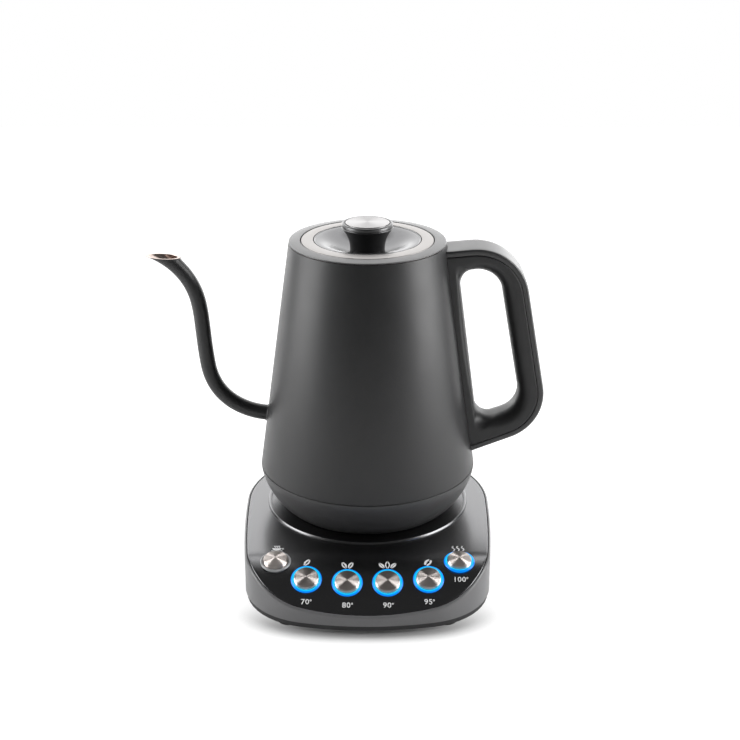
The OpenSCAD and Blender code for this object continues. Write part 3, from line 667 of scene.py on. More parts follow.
def make_seat():
    """Seat plate: raised lip, flat ring, centring cone, plateau with its groove in painted shade, drain
    slots.
    """
    thick = 2.3
    groove_floor = PLATEAU_Z - GROOVE_DEPTH
    profile = [  # the turret's hole, two fine lines, the groove, the cone, the flat ring, its lip
        (18.6, PLATEAU_Z - thick), (18.6, PLATEAU_Z), (23.6, PLATEAU_Z, 0.1), (23.8, PLATEAU_Z - 0.5, 0.05),
        (24.2, PLATEAU_Z - 0.5, 0.05), (24.4, PLATEAU_Z, 0.1), (26.6, PLATEAU_Z, 0.1),
        (26.8, PLATEAU_Z - 0.3, 0.05), (27.1, PLATEAU_Z - 0.3, 0.05), (27.3, PLATEAU_Z, 0.1),
        (GROOVE_IN, PLATEAU_Z, 0.2), (GROOVE_IN, groove_floor, 0.1),
        (GROOVE_OUT, groove_floor, 0.1), (GROOVE_OUT, PLATEAU_Z, 0.3),
        (PLATEAU_R, PLATEAU_Z, 1.2), (CONE_R, SEAT_Z, 1.6), (SEAT_HOLE, SEAT_Z, 0.4),
        (SEAT_R - 2.0, SEAT_LIP, 0.35), (SEAT_R - 0.35, SEAT_LIP, 0.45), (SEAT_R, TOP_Z + 0.05, 0),
        (SEAT_R - 2.6, TOP_Z + 0.05, 0), (SEAT_R - 2.6, SEAT_Z - thick, 0),
        (CONE_R - 0.8, SEAT_Z - thick, 0), (PLATEAU_R - 0.8, PLATEAU_Z - thick, 0),
    ]
    mesh = cut(turned_mesh("seat", softened(profile, 0.2)), [slot_cutter(a) for a in DRAINS])
    near = 0.2
    # painted shade: the groove's walls and floor take the near-black finish, so the groove reads as a dark
    # line
    second_finish(mesh, lambda r, z: z < PLATEAU_Z - 0.25 and GROOVE_IN - near < r < GROOVE_OUT + near)
    piece(mesh, "base", "panel_plastic", ["seat_plate"], skins=["panel_plastic", "groove_black"])
    for number, angle in enumerate(DRAINS, 1):
        make_slot_lip(number, angle)


# sections of a button, as radius, height over the panel and rounding
CAP_R, RING_R = 7.35, 9.3
RING_HOLE = CAP_R + 0.35
SLEEVE_R, SLEEVE_FOOT = 8.85, -3.9
RING_SECTION = [
    (RING_HOLE, SLEEVE_FOOT, 0), (SLEEVE_R, SLEEVE_FOOT, 0), (SLEEVE_R, 0.05, 0), (RING_R, 0.05, 0),
    (RING_R, 0.4, 0.2), (RING_R - 0.5, 0.85, 0.3), (8.6, 0.95, 0.2), (8.45, 0.8, 0.1), (8.3, 0.95, 0.2),
    (RING_HOLE + 0.2, 0.85, 0.2), (RING_HOLE, 0.6, 0.1),
]
CAP_SECTION = [
    (0, 0.3), (0, 3.9), (CAP_R - 0.95, 2.75, 0.15), (CAP_R - 0.5, 2.7, 0.25), (CAP_R, 1.9, 0.5),
    (CAP_R, -3, 0.1), (CAP_R - 0.7, -3, 0.1), (CAP_R - 0.7, 0.3, 0),
]
UNLIT = 1  # the one button whose ring stays grey


def make_button(number, x, y):
    """A proud cap, spun to a shallow cone, in the low ring that lights up round it."""
    place = on_panel(x, y)
    slot, node, skins = "light_blue", "light_rings", None
    if number == UNLIT:
        slot, node, skins = "ring_white", "warm_ring", ["ring_grey"]
    turned(f"button_ring_{number}", RING_SECTION, "base", slot, [node], place, 0.2, 96, skins)
    body = f"button_{number}"
    turned(f"button_face_{number}", CAP_SECTION, body, "cap_steel", [f"{body}_cap"], place, 0.2, 96)


# ---------- turret ----------

TURRET_R = 19.3
TURRET_Z = high("turret_cap").z
TURRET_GAP = TURRET_Z - 1.7  # where the turning face starts over the fixed sleeve
FACE_Z = TURRET_GAP + 0.1
CONTACT_RINGS, CONTACT_HALF = (12.2, 8.2), 0.42
LOBE_R, LOBE_REACH, LOBE_STEPS = 3.2, 1.3, 120


def make_turret():
    """Fixed sleeve with its satin band, and the face that turns with the kettle."""
    gap, face = TURRET_GAP, FACE_Z
    foot, top = PLATEAU_Z, gap - 0.3
    sleeve = [  # its root in the seat, the satin band, the wall, the hollow head
        (14, 24, 0), (18.2, 24, 0), (18.2, foot, 0), (20.9, foot, 0.2), (20.7, foot + 1.0, 0.3),
        (19.7, foot + 1.3, 0.2), (19.5, foot + 3.0, 0.2), (20.7, foot + 3.3, 0.3),
        (20.6, foot + 4.4, 0.5), (TURRET_R, foot + 5.8, 0.3), (TURRET_R, top, 0.3),
        (6.05, top, 0.1), (6.05, gap - 2.6, 0), (16.5, gap - 2.6, 0), (16.5, 30, 0), (14, 30, 0),
    ]
    turned("turret_sleeve", sleeve, "base", "turret_plastic", ["turret_housing"])
    cap = [  # its pivot, the rim, and the grooves for the two contact rings
        (0, gap - 4, 0), (6, gap - 4, 0.1), (6, gap, 0), (20.0, gap, 0.25), (20.3, TURRET_Z - 0.9, 0.5),
        (19.4, TURRET_Z, 0.5), (16.7, TURRET_Z, 0.3), (16.2, TURRET_Z - 0.9, 0.15), (16.1, face, 0.1),
        (13.2, face, 0), (13.1, face + 0.6, 0.1), (11.3, face + 0.6, 0.1), (11.2, face, 0),
        (9.2, face, 0), (9.1, face + 0.6, 0.1), (7.3, face + 0.6, 0.1), (7.2, face, 0), (0, face),
    ]
    mesh = turned_mesh("turret_face", softened(cap))
    second_finish(mesh, lambda r, z: r < 16.4 and z > gap - 0.5)
    piece(mesh, "turret", "turret_plastic", ["turret_cap"], skins=["turret_plastic", "turret_matte"])
    low_z, high_z = face + 0.4, face + 0.85
    for number, radius in enumerate(CONTACT_RINGS, 1):
        inner, outer = radius - CONTACT_HALF, radius + CONTACT_HALF
        contact = [(inner, low_z, 0), (outer, low_z, 0), (outer, high_z, 0.15), (inner, high_z, 0.15)]
        turned(f"contact_ring_{number}", contact, "turret", "contact_brass", ["turret_contacts"])
    make_centre_contact()


def make_centre_contact():
    """Three lobes round the middle of the turret, with the centre socket between them."""
    turns = [360 * k / LOBE_STEPS for k in range(LOBE_STEPS)]
    lobes = [LOBE_R + LOBE_REACH * math.cos(math.radians(3 * turn - 270)) for turn in turns]
    outlines = [(lift, [lobe + grow for lobe in lobes]) for lift, grow in ((0, 0), (0.45, 0), (0.6, -0.15))]
    outlines += [(lift, [radius] * LOBE_STEPS) for lift, radius in ((0.6, 1.4), (0, 1.3))]
    rings = []
    for lift, radii in outlines:
        rings.append([(*polar(radius, turn), FACE_Z + 0.05 + lift) for radius, turn in zip(radii, turns)])
    piece(woven_mesh("contact_centre", rings), "turret", "contact_brass", ["turret_contacts"])


# ---------- kettle body ----------

FOOT_Z = low("bottom_housing").z
SEAM_R = high("bottom_housing").x
SEAM_Z = low("seam_gasket").z
NECK_R = high("top_collar").x
NECK_Z = high("vessel").z + 0.2
TAPER = (SEAM_R - NECK_R) / (NECK_Z - SEAM_Z)
WALL = 1
FLOOR_Z = FOOT_Z + 39.2
PROBE, PROBE_HOLE_R = polar(53.6, 135), 3
SPOUT_Z = FOOT_Z + 60.4


def wall_r(z):
    return SEAM_R - (z - SEAM_Z) * TAPER


def make_vessel():
    """Drawn steel wall, coated outside and bare inside, with the spout's hole, and its floor."""
    foot, top = SEAM_Z + 0.6, NECK_Z - 0.2
    wall = [
        (wall_r(foot), foot, 0.25), (wall_r(top), top, 0.3), (wall_r(top) - WALL, top, 0.2),
        (wall_r(foot) - WALL, foot, 0.1),
    ]
    hole = drill(SPOUT_ROOT_R + 0.05, 45, 75, moved(z=SPOUT_Z) @ quarter_turn("Y"))
    mesh = cut(turned_mesh("body_wall", softened(wall), 256), [hole])
    second_finish(mesh, lambda r, z: r < wall_r(z) - 0.3)
    piece(mesh, "kettle", "black_coat", ["vessel"], skins=["black_coat", "bare_steel"])
    inside = wall_r(FLOOR_Z) - WALL - 0.05
    floor = [  # turned-down rim, corner, flat, and back underneath
        (inside + 0.1, FLOOR_Z - 3.5, 0.1), (inside - 0.15, FLOOR_Z + 3.6, 0.1),
        (inside - 1.2, FLOOR_Z + 1.1, 1.2), (inside - 4, FLOOR_Z, 0.8), (0, FLOOR_Z), (0, FLOOR_Z - 1),
        (inside - 2.5, FLOOR_Z - 1, 1), (inside - 0.9, FLOOR_Z - 3.5, 0.1),
    ]
    hole = drill(PROBE_HOLE_R, FLOOR_Z - 5, FLOOR_Z + 5, moved(PROBE.x, PROBE.y), 48)
    piece(cut(turned_mesh("body_floor", softened(floor)), [hole]), "kettle", "plain_steel", ["vessel_floor"])


BOWL_IN, BOWL_H, BOWL_POWER, BOWL_T = 46, 29.85, 1.28, 2.2
BOWL_STEPS = 40
FOOT_IN = 50.6  # inner radius of the ring the kettle stands on
CEILING = 10.6  # height of the recess over that ring
SOCKET_R = 23.9


def make_bowl():
    """Bottom housing: a full curve from the seam down to the foot, hollow over the base's cone."""

    def curve(inset):
        width, height = SEAM_R - BOWL_IN - inset, BOWL_H - inset
        first = math.acos(((SEAM_Z - FOOT_Z - inset) / height) ** (1 / BOWL_POWER))
        points = []
        for i in range(BOWL_STEPS + 1):
            turn = first + (math.pi / 2 - first) * i / BOWL_STEPS
            down = max(0, math.cos(turn)) ** BOWL_POWER
            points.append((BOWL_IN + width * math.sin(turn) ** BOWL_POWER, SEAM_Z - height * down))
        return points

    recess = FOOT_IN - CEILING * (CONE_R - PLATEAU_R) / (PLATEAU_Z - SEAT_Z)
    under = FOOT_Z + CEILING
    over = under + BOWL_T
    outside, inside = curve(0), curve(BOWL_T)
    profile = [(FOOT_IN, FOOT_Z, 0.3), (*outside[0], 0.8)]
    profile += [(*p, 0) for p in outside[1:-1]] + [(*outside[-1], 0.3)]
    profile += [(*p, 0) for p in inside[::-1]]
    profile += [
        (FOOT_IN + 0.6, FOOT_Z + BOWL_T, 0.3), (recess + 1.2, over, 0.3), (SOCKET_R, over, 0.2),
        (SOCKET_R, under, 0.4), (recess, under, 0.8),
    ]
    turned("bottom_bowl", profile, "kettle", "housing_plastic", ["bottom_housing"], sides=256)


def make_collar():
    """Collar round the opening: its top slopes up a little towards the lid."""
    inner = LID_R + 0.5
    edge, skirt = NECK_Z + 0.2, NECK_Z - 4.6
    throat = 38.8
    profile = [  # the tube for the lid's plug, the skirt in the wall, the edge, the lid's ledge
        (throat, NECK_Z - 10, 0.2), (throat + 1.2, NECK_Z - 10, 0.2), (throat + 1.2, NECK_Z - 3, 0.3),
        (NECK_R - 3, NECK_Z - 1.6, 0.3), (NECK_R - 2.6, skirt, 0.2), (NECK_R - WALL, skirt, 0.2),
        (NECK_R - WALL, edge, 0), (NECK_R, edge, 0.15), (NECK_R - 0.25, edge + 0.55, 0.5),
        (inner + 0.35, NECK_Z + 1.4, 0.35), (inner, NECK_Z + 1.1, 0.2), (inner, NECK_Z - 1.5, 0.3),
        (throat, NECK_Z - 1.5, 0.4),
    ]
    turned("neck_collar", profile, "kettle", "collar_coat", ["top_collar"], sides=256)


# ---------- spout ----------

SPOUT_ROOT_R, SPOUT_MID_R, SPOUT_MOUTH_R, SPOUT_WALL = 4.9, 4.8, 4.9, 0.9
MOUTH_Z = high("spout_tube").z
NECK_LOW = Vector((-101, SPOUT_Z + 33.4))
NECK_TOP = Vector((-107.4, SPOUT_Z + 81.9))
MOUTH = Vector((-126.3, MOUTH_Z + 0.9))
MOUTH_LEAN = 1.15  # 1 would cut the mouth level; more lifts its tip
MOUTH_SPREAD = 0.2  # how much wider than deep the mouth is
SPOUT_SIDES = 64
LIP_EASE = 0.22
WELD_REACH, WELD_STEPS = 1.1, 6


def bezier(p, t):
    u = 1 - t
    return u * u * u * p[0] + 3 * t * u * u * p[1] + 3 * t * t * u * p[2] + t * t * t * p[3]


def heading(p, t):
    u = 1 - t
    return (u * u * (p[1] - p[0]) + 2 * t * u * (p[2] - p[1]) + t * t * (p[3] - p[2])).normalized()


def spout_stations():
    """Along the gooseneck: centre, heading, outer radius, and lean towards a level cut."""
    out = [Vector((-62, SPOUT_Z)), Vector((-72, SPOUT_Z)), Vector((-97, SPOUT_Z + 5.8)), NECK_LOW]
    neck = [NECK_LOW, NECK_LOW + Vector((-3.1, 21.6)), NECK_TOP + Vector((4.4, -12.1)), NECK_TOP]
    over = [NECK_TOP, NECK_TOP + Vector((-3.7, 10.1)), MOUTH + Vector((8, -4.5)), MOUTH]
    stations = []
    for path, start, end, steps, lean in (
        (out, SPOUT_ROOT_R, SPOUT_MID_R, 42, 0),
        (neck, SPOUT_MID_R, SPOUT_MID_R, 30, 0),
        (over, SPOUT_MID_R, SPOUT_MOUTH_R, 40, MOUTH_LEAN),
    ):
        for i in range(steps):
            t = i / steps
            radius = start + (end - start) * (t * t if lean else t)  # the mouth flares late
            stations.append((bezier(path, t), heading(path, t), radius, lean * t * t))
    stations.append((MOUTH, heading(over, 1), SPOUT_MOUTH_R, MOUTH_LEAN))
    return stations


def spout_ring(station, inset, back=0.0):
    """A ring of points; near the mouth its points slide along the tube until the cut lies level."""
    centre, along, radius, lean = station
    up = Vector((along.y, -along.x))
    ring = []
    for k in range(SPOUT_SIDES):
        turn = 2 * math.pi * k / SPOUT_SIDES
        rise = (radius - inset) * math.cos(turn)
        slide = lean * rise * up.y / along.y if lean else 0
        spot = centre + up * rise - along * (slide + back)
        ring.append((spot.x, (radius - inset) * math.sin(turn) * (1 + MOUTH_SPREAD * lean), spot.y))
    return ring


def make_spout():
    """Gooseneck tube: coated outside, bare steel inside and on the eased lip of its mouth."""
    stations = spout_stations()
    last = stations[-1]
    ease, bevel = LIP_EASE, LIP_EASE * 0.3
    outside = [spout_ring(s, 0) for s in stations[:-1]] + [spout_ring(last, 0, ease)]
    lip = [spout_ring(last, bevel, bevel), spout_ring(last, ease)]
    lip += [spout_ring(last, SPOUT_WALL - ease), spout_ring(last, SPOUT_WALL - bevel, bevel)]
    inside = [spout_ring(last, SPOUT_WALL, ease)] + [spout_ring(s, SPOUT_WALL) for s in stations[-2::-1]]
    mesh = woven_mesh("gooseneck", outside + lip + inside, 50, skin_from=len(outside))
    piece(mesh, "kettle", "black_coat", ["spout_tube"], skins=["black_coat", "bare_steel"])


def make_spout_weld():
    """The small smooth fillet where the tube meets the wall."""
    deep = 0.3  # how far its hidden side reaches into the tube and the wall
    rings = []
    for i in range(WELD_STEPS + 1):
        turn = math.pi / 2 * i / WELD_STEPS
        radius = SPOUT_ROOT_R + WELD_REACH * (1 - math.sin(turn)) - 0.02
        rings.append(weld_ring(radius, WELD_REACH * (1 - math.cos(turn))))
    rings.append(weld_ring(SPOUT_ROOT_R - deep, WELD_REACH))
    rings.append(weld_ring(SPOUT_ROOT_R - deep, -deep))
    rings.append(weld_ring(SPOUT_ROOT_R + WELD_REACH, -deep))
    piece(woven_mesh("spout_weld", rings), "kettle", "black_coat")


def weld_ring(radius, out):
    """A ring round the tube's root, that lies on the body's wall or out from it."""
    ring = []
    for k in range(SPOUT_SIDES):
        spot = polar(radius, 360 * k / SPOUT_SIDES)
        z = SPOUT_Z + spot.y
        ring.append((-(math.sqrt(wall_r(z) ** 2 - spot.x**2) + out), spot.x, z))
    return ring


# ---------- handle ----------

HALF_HANDLE = high("handle_body").y
# side views of the handle and its finger gap, in heights over the kettle's foot
HANDLE_CORNERS = [(40, 170.4), (94, 175.3), (115.2, 57.3), (58, 34.8)]
HANDLE_ROUND = (33, 31)
GAP_CORNERS = [(56.2, 158.1), (81.1, 158.6), (97.5, 68.1), (69.8, 56.7)]
GAP_ROUND = [9, 16, 15, 9.5]
SQUARE = 0.01  # the rounding of a corner that stays sharp
COVER_T, COVER_OUTER_EASE, COVER_INNER_EASE = 3.7, 1.3, 0.6
GRIP_REACH, GRIP_DEPTH = 11, 9  # the rounding's reach into the cheek and its depth
GRIP_EDGE = 0.5
GRIP_STEPS = 14  # from the cheek to the finger gap's middle
GRIP_SHARE = 0.85  # the rounding takes at most this much of the cheek
HANDLE_GAP = 0.15
ROUND_SHARE = 0.9  # a handle corner's arc takes at most this much of its sides


def loop(corners, radii, side_steps=24, corner_steps=12):
    """A closed outline with rounded corners and evenly many points on each side and corner."""
    arcs = []
    for i, corner in enumerate(corners):
        before, after = corners[i - 1], corners[(i + 1) % len(corners)]
        arcs.append(corner_arc(before, corner, after, radii[i], corner_steps, ROUND_SHARE))
    points = []
    for i, run in enumerate(arcs):
        nxt = arcs[(i + 1) % len(arcs)][0]
        points += run
        points += [run[-1].lerp(nxt, k / side_steps) for k in range(1, side_steps)]
    return points


def grown(corners, by):
    """A clockwise polygon with each side moved outwards by its own distance."""
    count = len(corners)
    made = []
    for i, corner in enumerate(corners):
        u = (corner - corners[i - 1]).normalized()
        v = (corners[(i + 1) % count] - corner).normalized()
        p, q = Vector((-u.y, u.x)), Vector((-v.y, v.x))
        a, b = by[i - 1], by[i]
        # where the two moved sides meet
        spot_p, spot_q = corner + p * a, corner + q * b
        t = ((spot_q - spot_p).x * v.y - (spot_q - spot_p).y * v.x) / (u.x * v.y - u.y * v.x)
        made.append(spot_p + u * t)
    return made


def on_wall(start, end):
    """Where the side from start to end crosses the body's wall, in side view."""
    a, b = 0.0, 1.0
    for _ in range(40):
        t = (a + b) / 2
        spot = start.lerp(end, t)
        if spot.x < wall_r(spot.y) + HANDLE_GAP:
            a = t
        else:
            b = t
    return start.lerp(end, a)


def lifted(corners):
    return [Vector(p) + Vector((0, FOOT_Z)) for p in corners]


def handle_outline(inset):
    """Top at the wall, top corner, lower corner, foot at the wall; the cover's sides move inwards."""
    corners = grown(lifted(HANDLE_CORNERS), [-inset, -inset, -inset, 0])
    corners[0] = on_wall(corners[0], corners[1])
    corners[3] = on_wall(corners[3], corners[2])
    return corners, [SQUARE, *(radius - inset for radius in HANDLE_ROUND), SQUARE]


def hugging(x, y, z):
    """The x of a point that lies on the wall in side view, moved in to stay on the round wall."""
    radius = wall_r(z) + HANDLE_GAP
    return x - (radius - math.sqrt(radius * radius - y * y))


def edge_steps(half, radius, steps=4):
    """Across a surface with eased edges: pairs of y and how far the point falls back there."""
    pairs = []
    for i in range(steps + 1):
        turn = math.pi / 2 * (1 - i / steps)
        pairs.append((half - radius + radius * math.sin(turn), radius * (1 - math.cos(turn))))
    flat = [(half - radius) * k / 3 for k in (2, 1)]
    right = pairs + [(y, 0.0) for y in flat] + [(0.0, 0.0)]
    return right + [(-y, fall) for y, fall in right[-2::-1]]


def widened(gap, outside, share):
    """The finger gap's outline, moved towards the outside by a share of its rounding's reach."""
    made = []
    for p, q in zip(gap, outside):
        width = (q - p).length
        room = GRIP_SHARE * width
        made.append(p.lerp(q, share * room * math.tanh(GRIP_REACH / room) / width))
    return made


def make_grip():
    """Handle body: flat cheeks, deeply rounded round the finger gap, shaped to the wall."""
    half = HALF_HANDLE
    inset = COVER_T + HANDLE_GAP
    rows = [(loop(*handle_outline(inset + fall)), y) for y, fall in edge_steps(half, GRIP_EDGE)]
    outer_rows, near_wall = len(rows), 0.8
    cheek = loop(*handle_outline(inset + GRIP_EDGE))
    gap = loop(lifted(GAP_CORNERS), GAP_ROUND)
    brink = widened(gap, cheek, 1)
    spans = [[p.lerp(q, t) for p, q in zip(cheek, brink)] for t in (0.25, 0.5, 0.75)]
    rows += [(row, -half) for row in spans]
    for i in range(2 * GRIP_STEPS + 1):
        turn = math.pi / 2 * abs(1 - i / GRIP_STEPS)
        depth = half - GRIP_DEPTH + GRIP_DEPTH * math.sin(turn)
        rows.append((widened(gap, cheek, 1 - math.cos(turn)), math.copysign(depth, i - GRIP_STEPS)))
    rows += [(row, half) for row in spans[::-1]]
    rings = []
    for i, (row, y) in enumerate(rows):
        ring = []
        for p in row:
            at_wall = i < outer_rows and abs(p.x - wall_r(p.y) - HANDLE_GAP) < near_wall
            ring.append((hugging(p.x, y, p.y) if at_wall else p.x, y, p.y))
        rings.append(ring)
    piece(woven_mesh("grip", rings, 40), "kettle", "handle_plastic", ["handle_body"])


def make_cover():
    """Cover strip along the handle's outer edge, from wall to wall, a little narrower than the grip."""
    half = HALF_HANDLE - 0.25
    section = [(fall, y) for y, fall in edge_steps(half, COVER_OUTER_EASE, 6)]
    section += [(COVER_T - fall, y) for y, fall in edge_steps(half, COVER_INNER_EASE, 3)[::-1]]
    runs = {inset: cover_run(inset) for inset, _ in section}
    last = len(runs[0]) - 1
    rings = []
    for i in range(last + 1):
        ring = []
        for inset, y in section:
            p = runs[inset][i]
            ring.append((hugging(p.x, y, p.y) if i in (0, last) else p.x, y, p.y))
        rings.append(ring)
    mesh = woven_mesh("grip_cover", rings, 40, ends=True)
    piece(mesh, "kettle", "handle_plastic", ["handle_cover"], skins=["cover_plastic"])


def cover_run(inset):
    """The handle's outline from its top at the wall round to its foot at the wall."""
    side_steps, corner_steps = 24, 20
    run = loop(*handle_outline(inset), side_steps, corner_steps)
    return run[corner_steps : 1 - side_steps]


# ---------- lid ----------

LID_R = high("lid_ring").x
LID_Z = NECK_Z + 1.3
DISH_R, DISH_FLAT, DISH_FOOT, DISH_DEPTH = 33.3, 32, 9, 7
DISH_STEPS, DISH_HOLE_R = 36, 3
VENT_R, VENT_CIRCLE, VENT_ANGLES = 1.1, 19, (75, 90, 105)
KNOB_R = high("knob").x
KNOB_RIM = LID_Z + 10.6
KNOB_FLARE = KNOB_RIM - 3  # where the stem's flare ends under the rim
STEM_R, FLARE, FLARE_POWER, FLARE_STEPS = 10.7, 5.2, 2.4, 24
RECESS_R, INLAY_R = 14, 13.5


def make_lid():
    """Brushed ring, satin dish that falls towards the knob, flared knob with its spun inlay."""
    inner, gap = DISH_R + 0.15, 0.3
    ring = [
        (inner, LID_Z + 0.3, 0.1), (LID_R - 0.4, LID_Z, 0.35), (LID_R, LID_Z - 0.5, 0.2),
        (LID_R, LID_Z - 2.4, 0.1), (LID_R - 1, LID_Z - 2.4, 0.1), (LID_R - 1, LID_Z - 1, 0),
        (inner, LID_Z - 0.7, 0),
    ]
    turned("lid_band", ring, "lid", "lid_steel", ["lid_ring"], sides=256)

    def dish_at(radius):
        share = min(1, (radius - DISH_FOOT) / (DISH_FLAT - DISH_FOOT))
        return LID_Z - DISH_DEPTH * (1 + math.cos(math.pi * share)) / 2

    rim, brim = DISH_R - gap, LID_Z + 0.25
    low_z = LID_Z - DISH_DEPTH
    radii = [DISH_FOOT + (rim - DISH_FOOT) * i / DISH_STEPS for i in range(DISH_STEPS + 1)]
    radii = [r for r in radii if r < rim - 1] + [rim]
    dish = [(DISH_HOLE_R, low_z, 0)] + [(r, dish_at(r) + 0.05, 0) for r in radii[:-1]]
    dish += [(rim - 0.9, dish_at(rim), 0.1), (rim - 0.6, brim, 0.2), (rim, brim, 0.2)]
    dish += [(r, dish_at(r) - 1, 0) for r in radii[::-1]] + [(DISH_HOLE_R, low_z - 1, 0)]
    spots = [polar(VENT_CIRCLE, angle) for angle in VENT_ANGLES]
    vents = [drill(VENT_R, LID_Z - 12, LID_Z, moved(spot.x, spot.y), 32) for spot in spots]
    piece(cut(turned_mesh("lid_bowl", softened(dish, 0), 256), vents), "lid", "dish_coat", ["lid_dish"])
    make_knob()


def make_knob():
    """Flared knob with a satin rim, and the spun disc let into its top."""
    foot = LID_Z - DISH_DEPTH + 0.1
    knob = [(0, foot, 0)]
    for i in range(FLARE_STEPS + 1):
        t = i / FLARE_STEPS
        knob.append((STEM_R + FLARE * t**FLARE_POWER, foot + (KNOB_FLARE - foot) * t, 0))
    knob += [
        (KNOB_R - 0.3, KNOB_FLARE + 0.3, 0.3), (KNOB_R, KNOB_FLARE + 0.8, 0.3),
        (KNOB_R, KNOB_RIM - 0.6, 0.5), (KNOB_R - 0.6, KNOB_RIM, 0.4), (RECESS_R, KNOB_RIM, 0.2),
        (RECESS_R, KNOB_RIM - 1, 0), (0, KNOB_RIM - 1, 0),
    ]
    mesh = turned_mesh("lid_knob", softened(knob))
    second_finish(mesh, lambda r, z: z > KNOB_FLARE + 0.05 and r > RECESS_R + 0.1)
    piece(mesh, "lid", "knob_plastic", ["knob"], skins=["knob_plastic", "knob_rim"])
    inlay = [
        (0, KNOB_RIM - 0.95, 0), (INLAY_R, KNOB_RIM - 0.95, 0), (INLAY_R, KNOB_RIM + 0.1, 0.15),
        (INLAY_R - 0.4, KNOB_RIM + 0.35, 0.15), (INLAY_R - 0.8, KNOB_RIM + 0.3, 0.1),
        (0, KNOB_RIM + 0.55, 0),
    ]
    turned("knob_disc", inlay, "lid", "spun_aluminium", ["knob_inlay"])


# ---------- printed marks ----------

PRINT_SINK, PRINT_RISE = -0.02, 0.05
PICTURE_SCALE = 1.3
WAVE_STEPS, LEAF_STEPS, CUP_STEPS, BEAN_STEPS, CIRCLE_STEPS = 10, 12, 12, 16, 24
LEAF_RIB = 0.12  # half the gap between a leaf's halves
BEAN_LEAN = -28
FIGURE_SIZE, FIGURE_WEIGHT, FIGURE_SPACING, FIGURE_THICK = 4.9, 0.05, 1.08, 0.03
FIGURE_SHIFT = -0.4  # makes room for the degree ring
DEGREE_HEIGHT, DEGREE_R, DEGREE_HOLE_R, DEGREE_GAP = 1.1, 0.62, 0.3, 0.9


def stroke(points, width):
    """A line of even width through points, as one polygon."""
    run = [Vector(p) for p in points]
    left, right = [], []
    for i, p in enumerate(run):
        a, b = run[max(0, i - 1)], run[min(len(run) - 1, i + 1)]
        along = (b - a).normalized()
        side = Vector((-along.y, along.x)) * width / 2
        left.append(p + side)
        right.append(p - side)
    return left + right[::-1]


def wave(x, low_y, high_y, swing):
    points = []
    for i in range(WAVE_STEPS + 1):
        y = low_y + (high_y - low_y) * i / WAVE_STEPS
        points.append((x + swing * math.sin(2 * math.pi * i / WAVE_STEPS), y))
    return points


def leaf(cx, cy, length, width, lean):
    """One half of a leaf on each side of its rib."""
    turn = Matrix.Rotation(math.radians(lean), 2)
    halves = []
    for side in (1, -1):
        edge = []
        for i in range(LEAF_STEPS + 1):
            t = i / LEAF_STEPS
            across = LEAF_RIB + width / 2 * math.sin(math.pi * t) ** 0.8
            edge.append(Vector((side * across, length * (t - 0.5))))
        edge += [Vector((side * LEAF_RIB, length * end)) for end in (0.5, -0.5)]
        halves.append([turn @ p + Vector((cx, cy)) for p in edge])
    return halves


def circle(cx, cy, radius):
    return [polar(1, 360 * i / CIRCLE_STEPS) * radius + Vector((cx, cy)) for i in range(CIRCLE_STEPS)]


def cup():
    """A cup with its ear, on a saucer, under three strands of steam."""
    half, depth, brim, line = 2.2, 2.0, 0.2, 0.4
    turns = [math.pi - math.pi * i / CUP_STEPS for i in range(1, CUP_STEPS)]
    under = [Vector((half * math.cos(a), brim - depth * math.sin(a))) for a in turns]
    bowl = [Vector((-half, brim)), *under, Vector((half, brim))]
    ear = [(half + 0.9 * math.sin(a), -0.5 + 0.55 * math.cos(a)) for a in (0.2, 0.8, 1.57, 2.3, 2.9)]
    strands = [stroke(wave(x, 0.9, 2.6, 0.25), 0.45) for x in (-1, 0, 1)]
    return [bowl, stroke(ear, line), *strands, stroke([(-2.6, -2.3), (2.6, -2.3)], line)]


def bean():
    turns = [math.radians(-90 + 180 * i / BEAN_STEPS) for i in range(BEAN_STEPS + 1)]
    lean = Matrix.Rotation(math.radians(BEAN_LEAN), 2)
    halves = []
    for side in (1, -1):
        edge = [Vector((side * (0.25 + 1.3 * math.cos(a)), 2.2 * math.sin(a))) for a in turns]
        halves.append([lean @ p for p in edge])
    return halves


def steam():
    return [stroke(wave(x, -2.2, 2.2, 0.5), 0.55) for x in (-2.2, 0, 2.2)]


TWO_LEAVES = leaf(-1.5, -0.1, 4.4, 2, 25) + leaf(1.5, -0.1, 4.4, 2, -25)
THREE_LEAVES = leaf(-2.7, -0.3, 4, 1.8, 38) + leaf(0, 0.1, 4.8, 2, 0) + leaf(2.7, -0.3, 4, 1.8, -38)
PRINTS = [  # for each button: picture, its distance up the panel, number, its distance down
    (cup(), 14.5, "", 0),
    (leaf(0, 0, 4.8, 2.2, -30), 13.2, "70", 15.3),
    (TWO_LEAVES, 13.2, "80", 15.3),
    (THREE_LEAVES, 13.2, "90", 15.3),
    (bean(), 13.2, "95", 15.3),
    (steam(), 14.5, "100", 14),
]


def along_surface(y):
    """Distance along the top surface from the bend's start to y."""
    past = -y - BEND_START
    bend = BEND_R * math.sin(PANEL_TILT)
    if past <= 0:
        return past
    if past < bend:
        return BEND_R * math.asin(past / BEND_R)
    return BEND_R * PANEL_TILT + (past - bend) / math.cos(PANEL_TILT)


def print_mark(name, polygons, x, along):
    """Thin ink laid on the panel; y of a polygon points up the panel."""
    points, faces = [], []
    for polygon in polygons:
        first, count = len(points), len(polygon)
        outline = [p * PICTURE_SCALE for p in polygon]
        for rise in (PRINT_SINK, PRINT_RISE):
            points += [panel_point(x + p.x, along - p.y, rise) for p in outline]
        under = range(first, first + count)
        faces += [tuple(under), tuple(i + count for i in under)]
        for i in under:
            j = first + (i - first + 1) % count
            faces.append((i, j, j + count, i + count))
    piece(finished_mesh(name, points, faces, 30), "base", "ring_white")


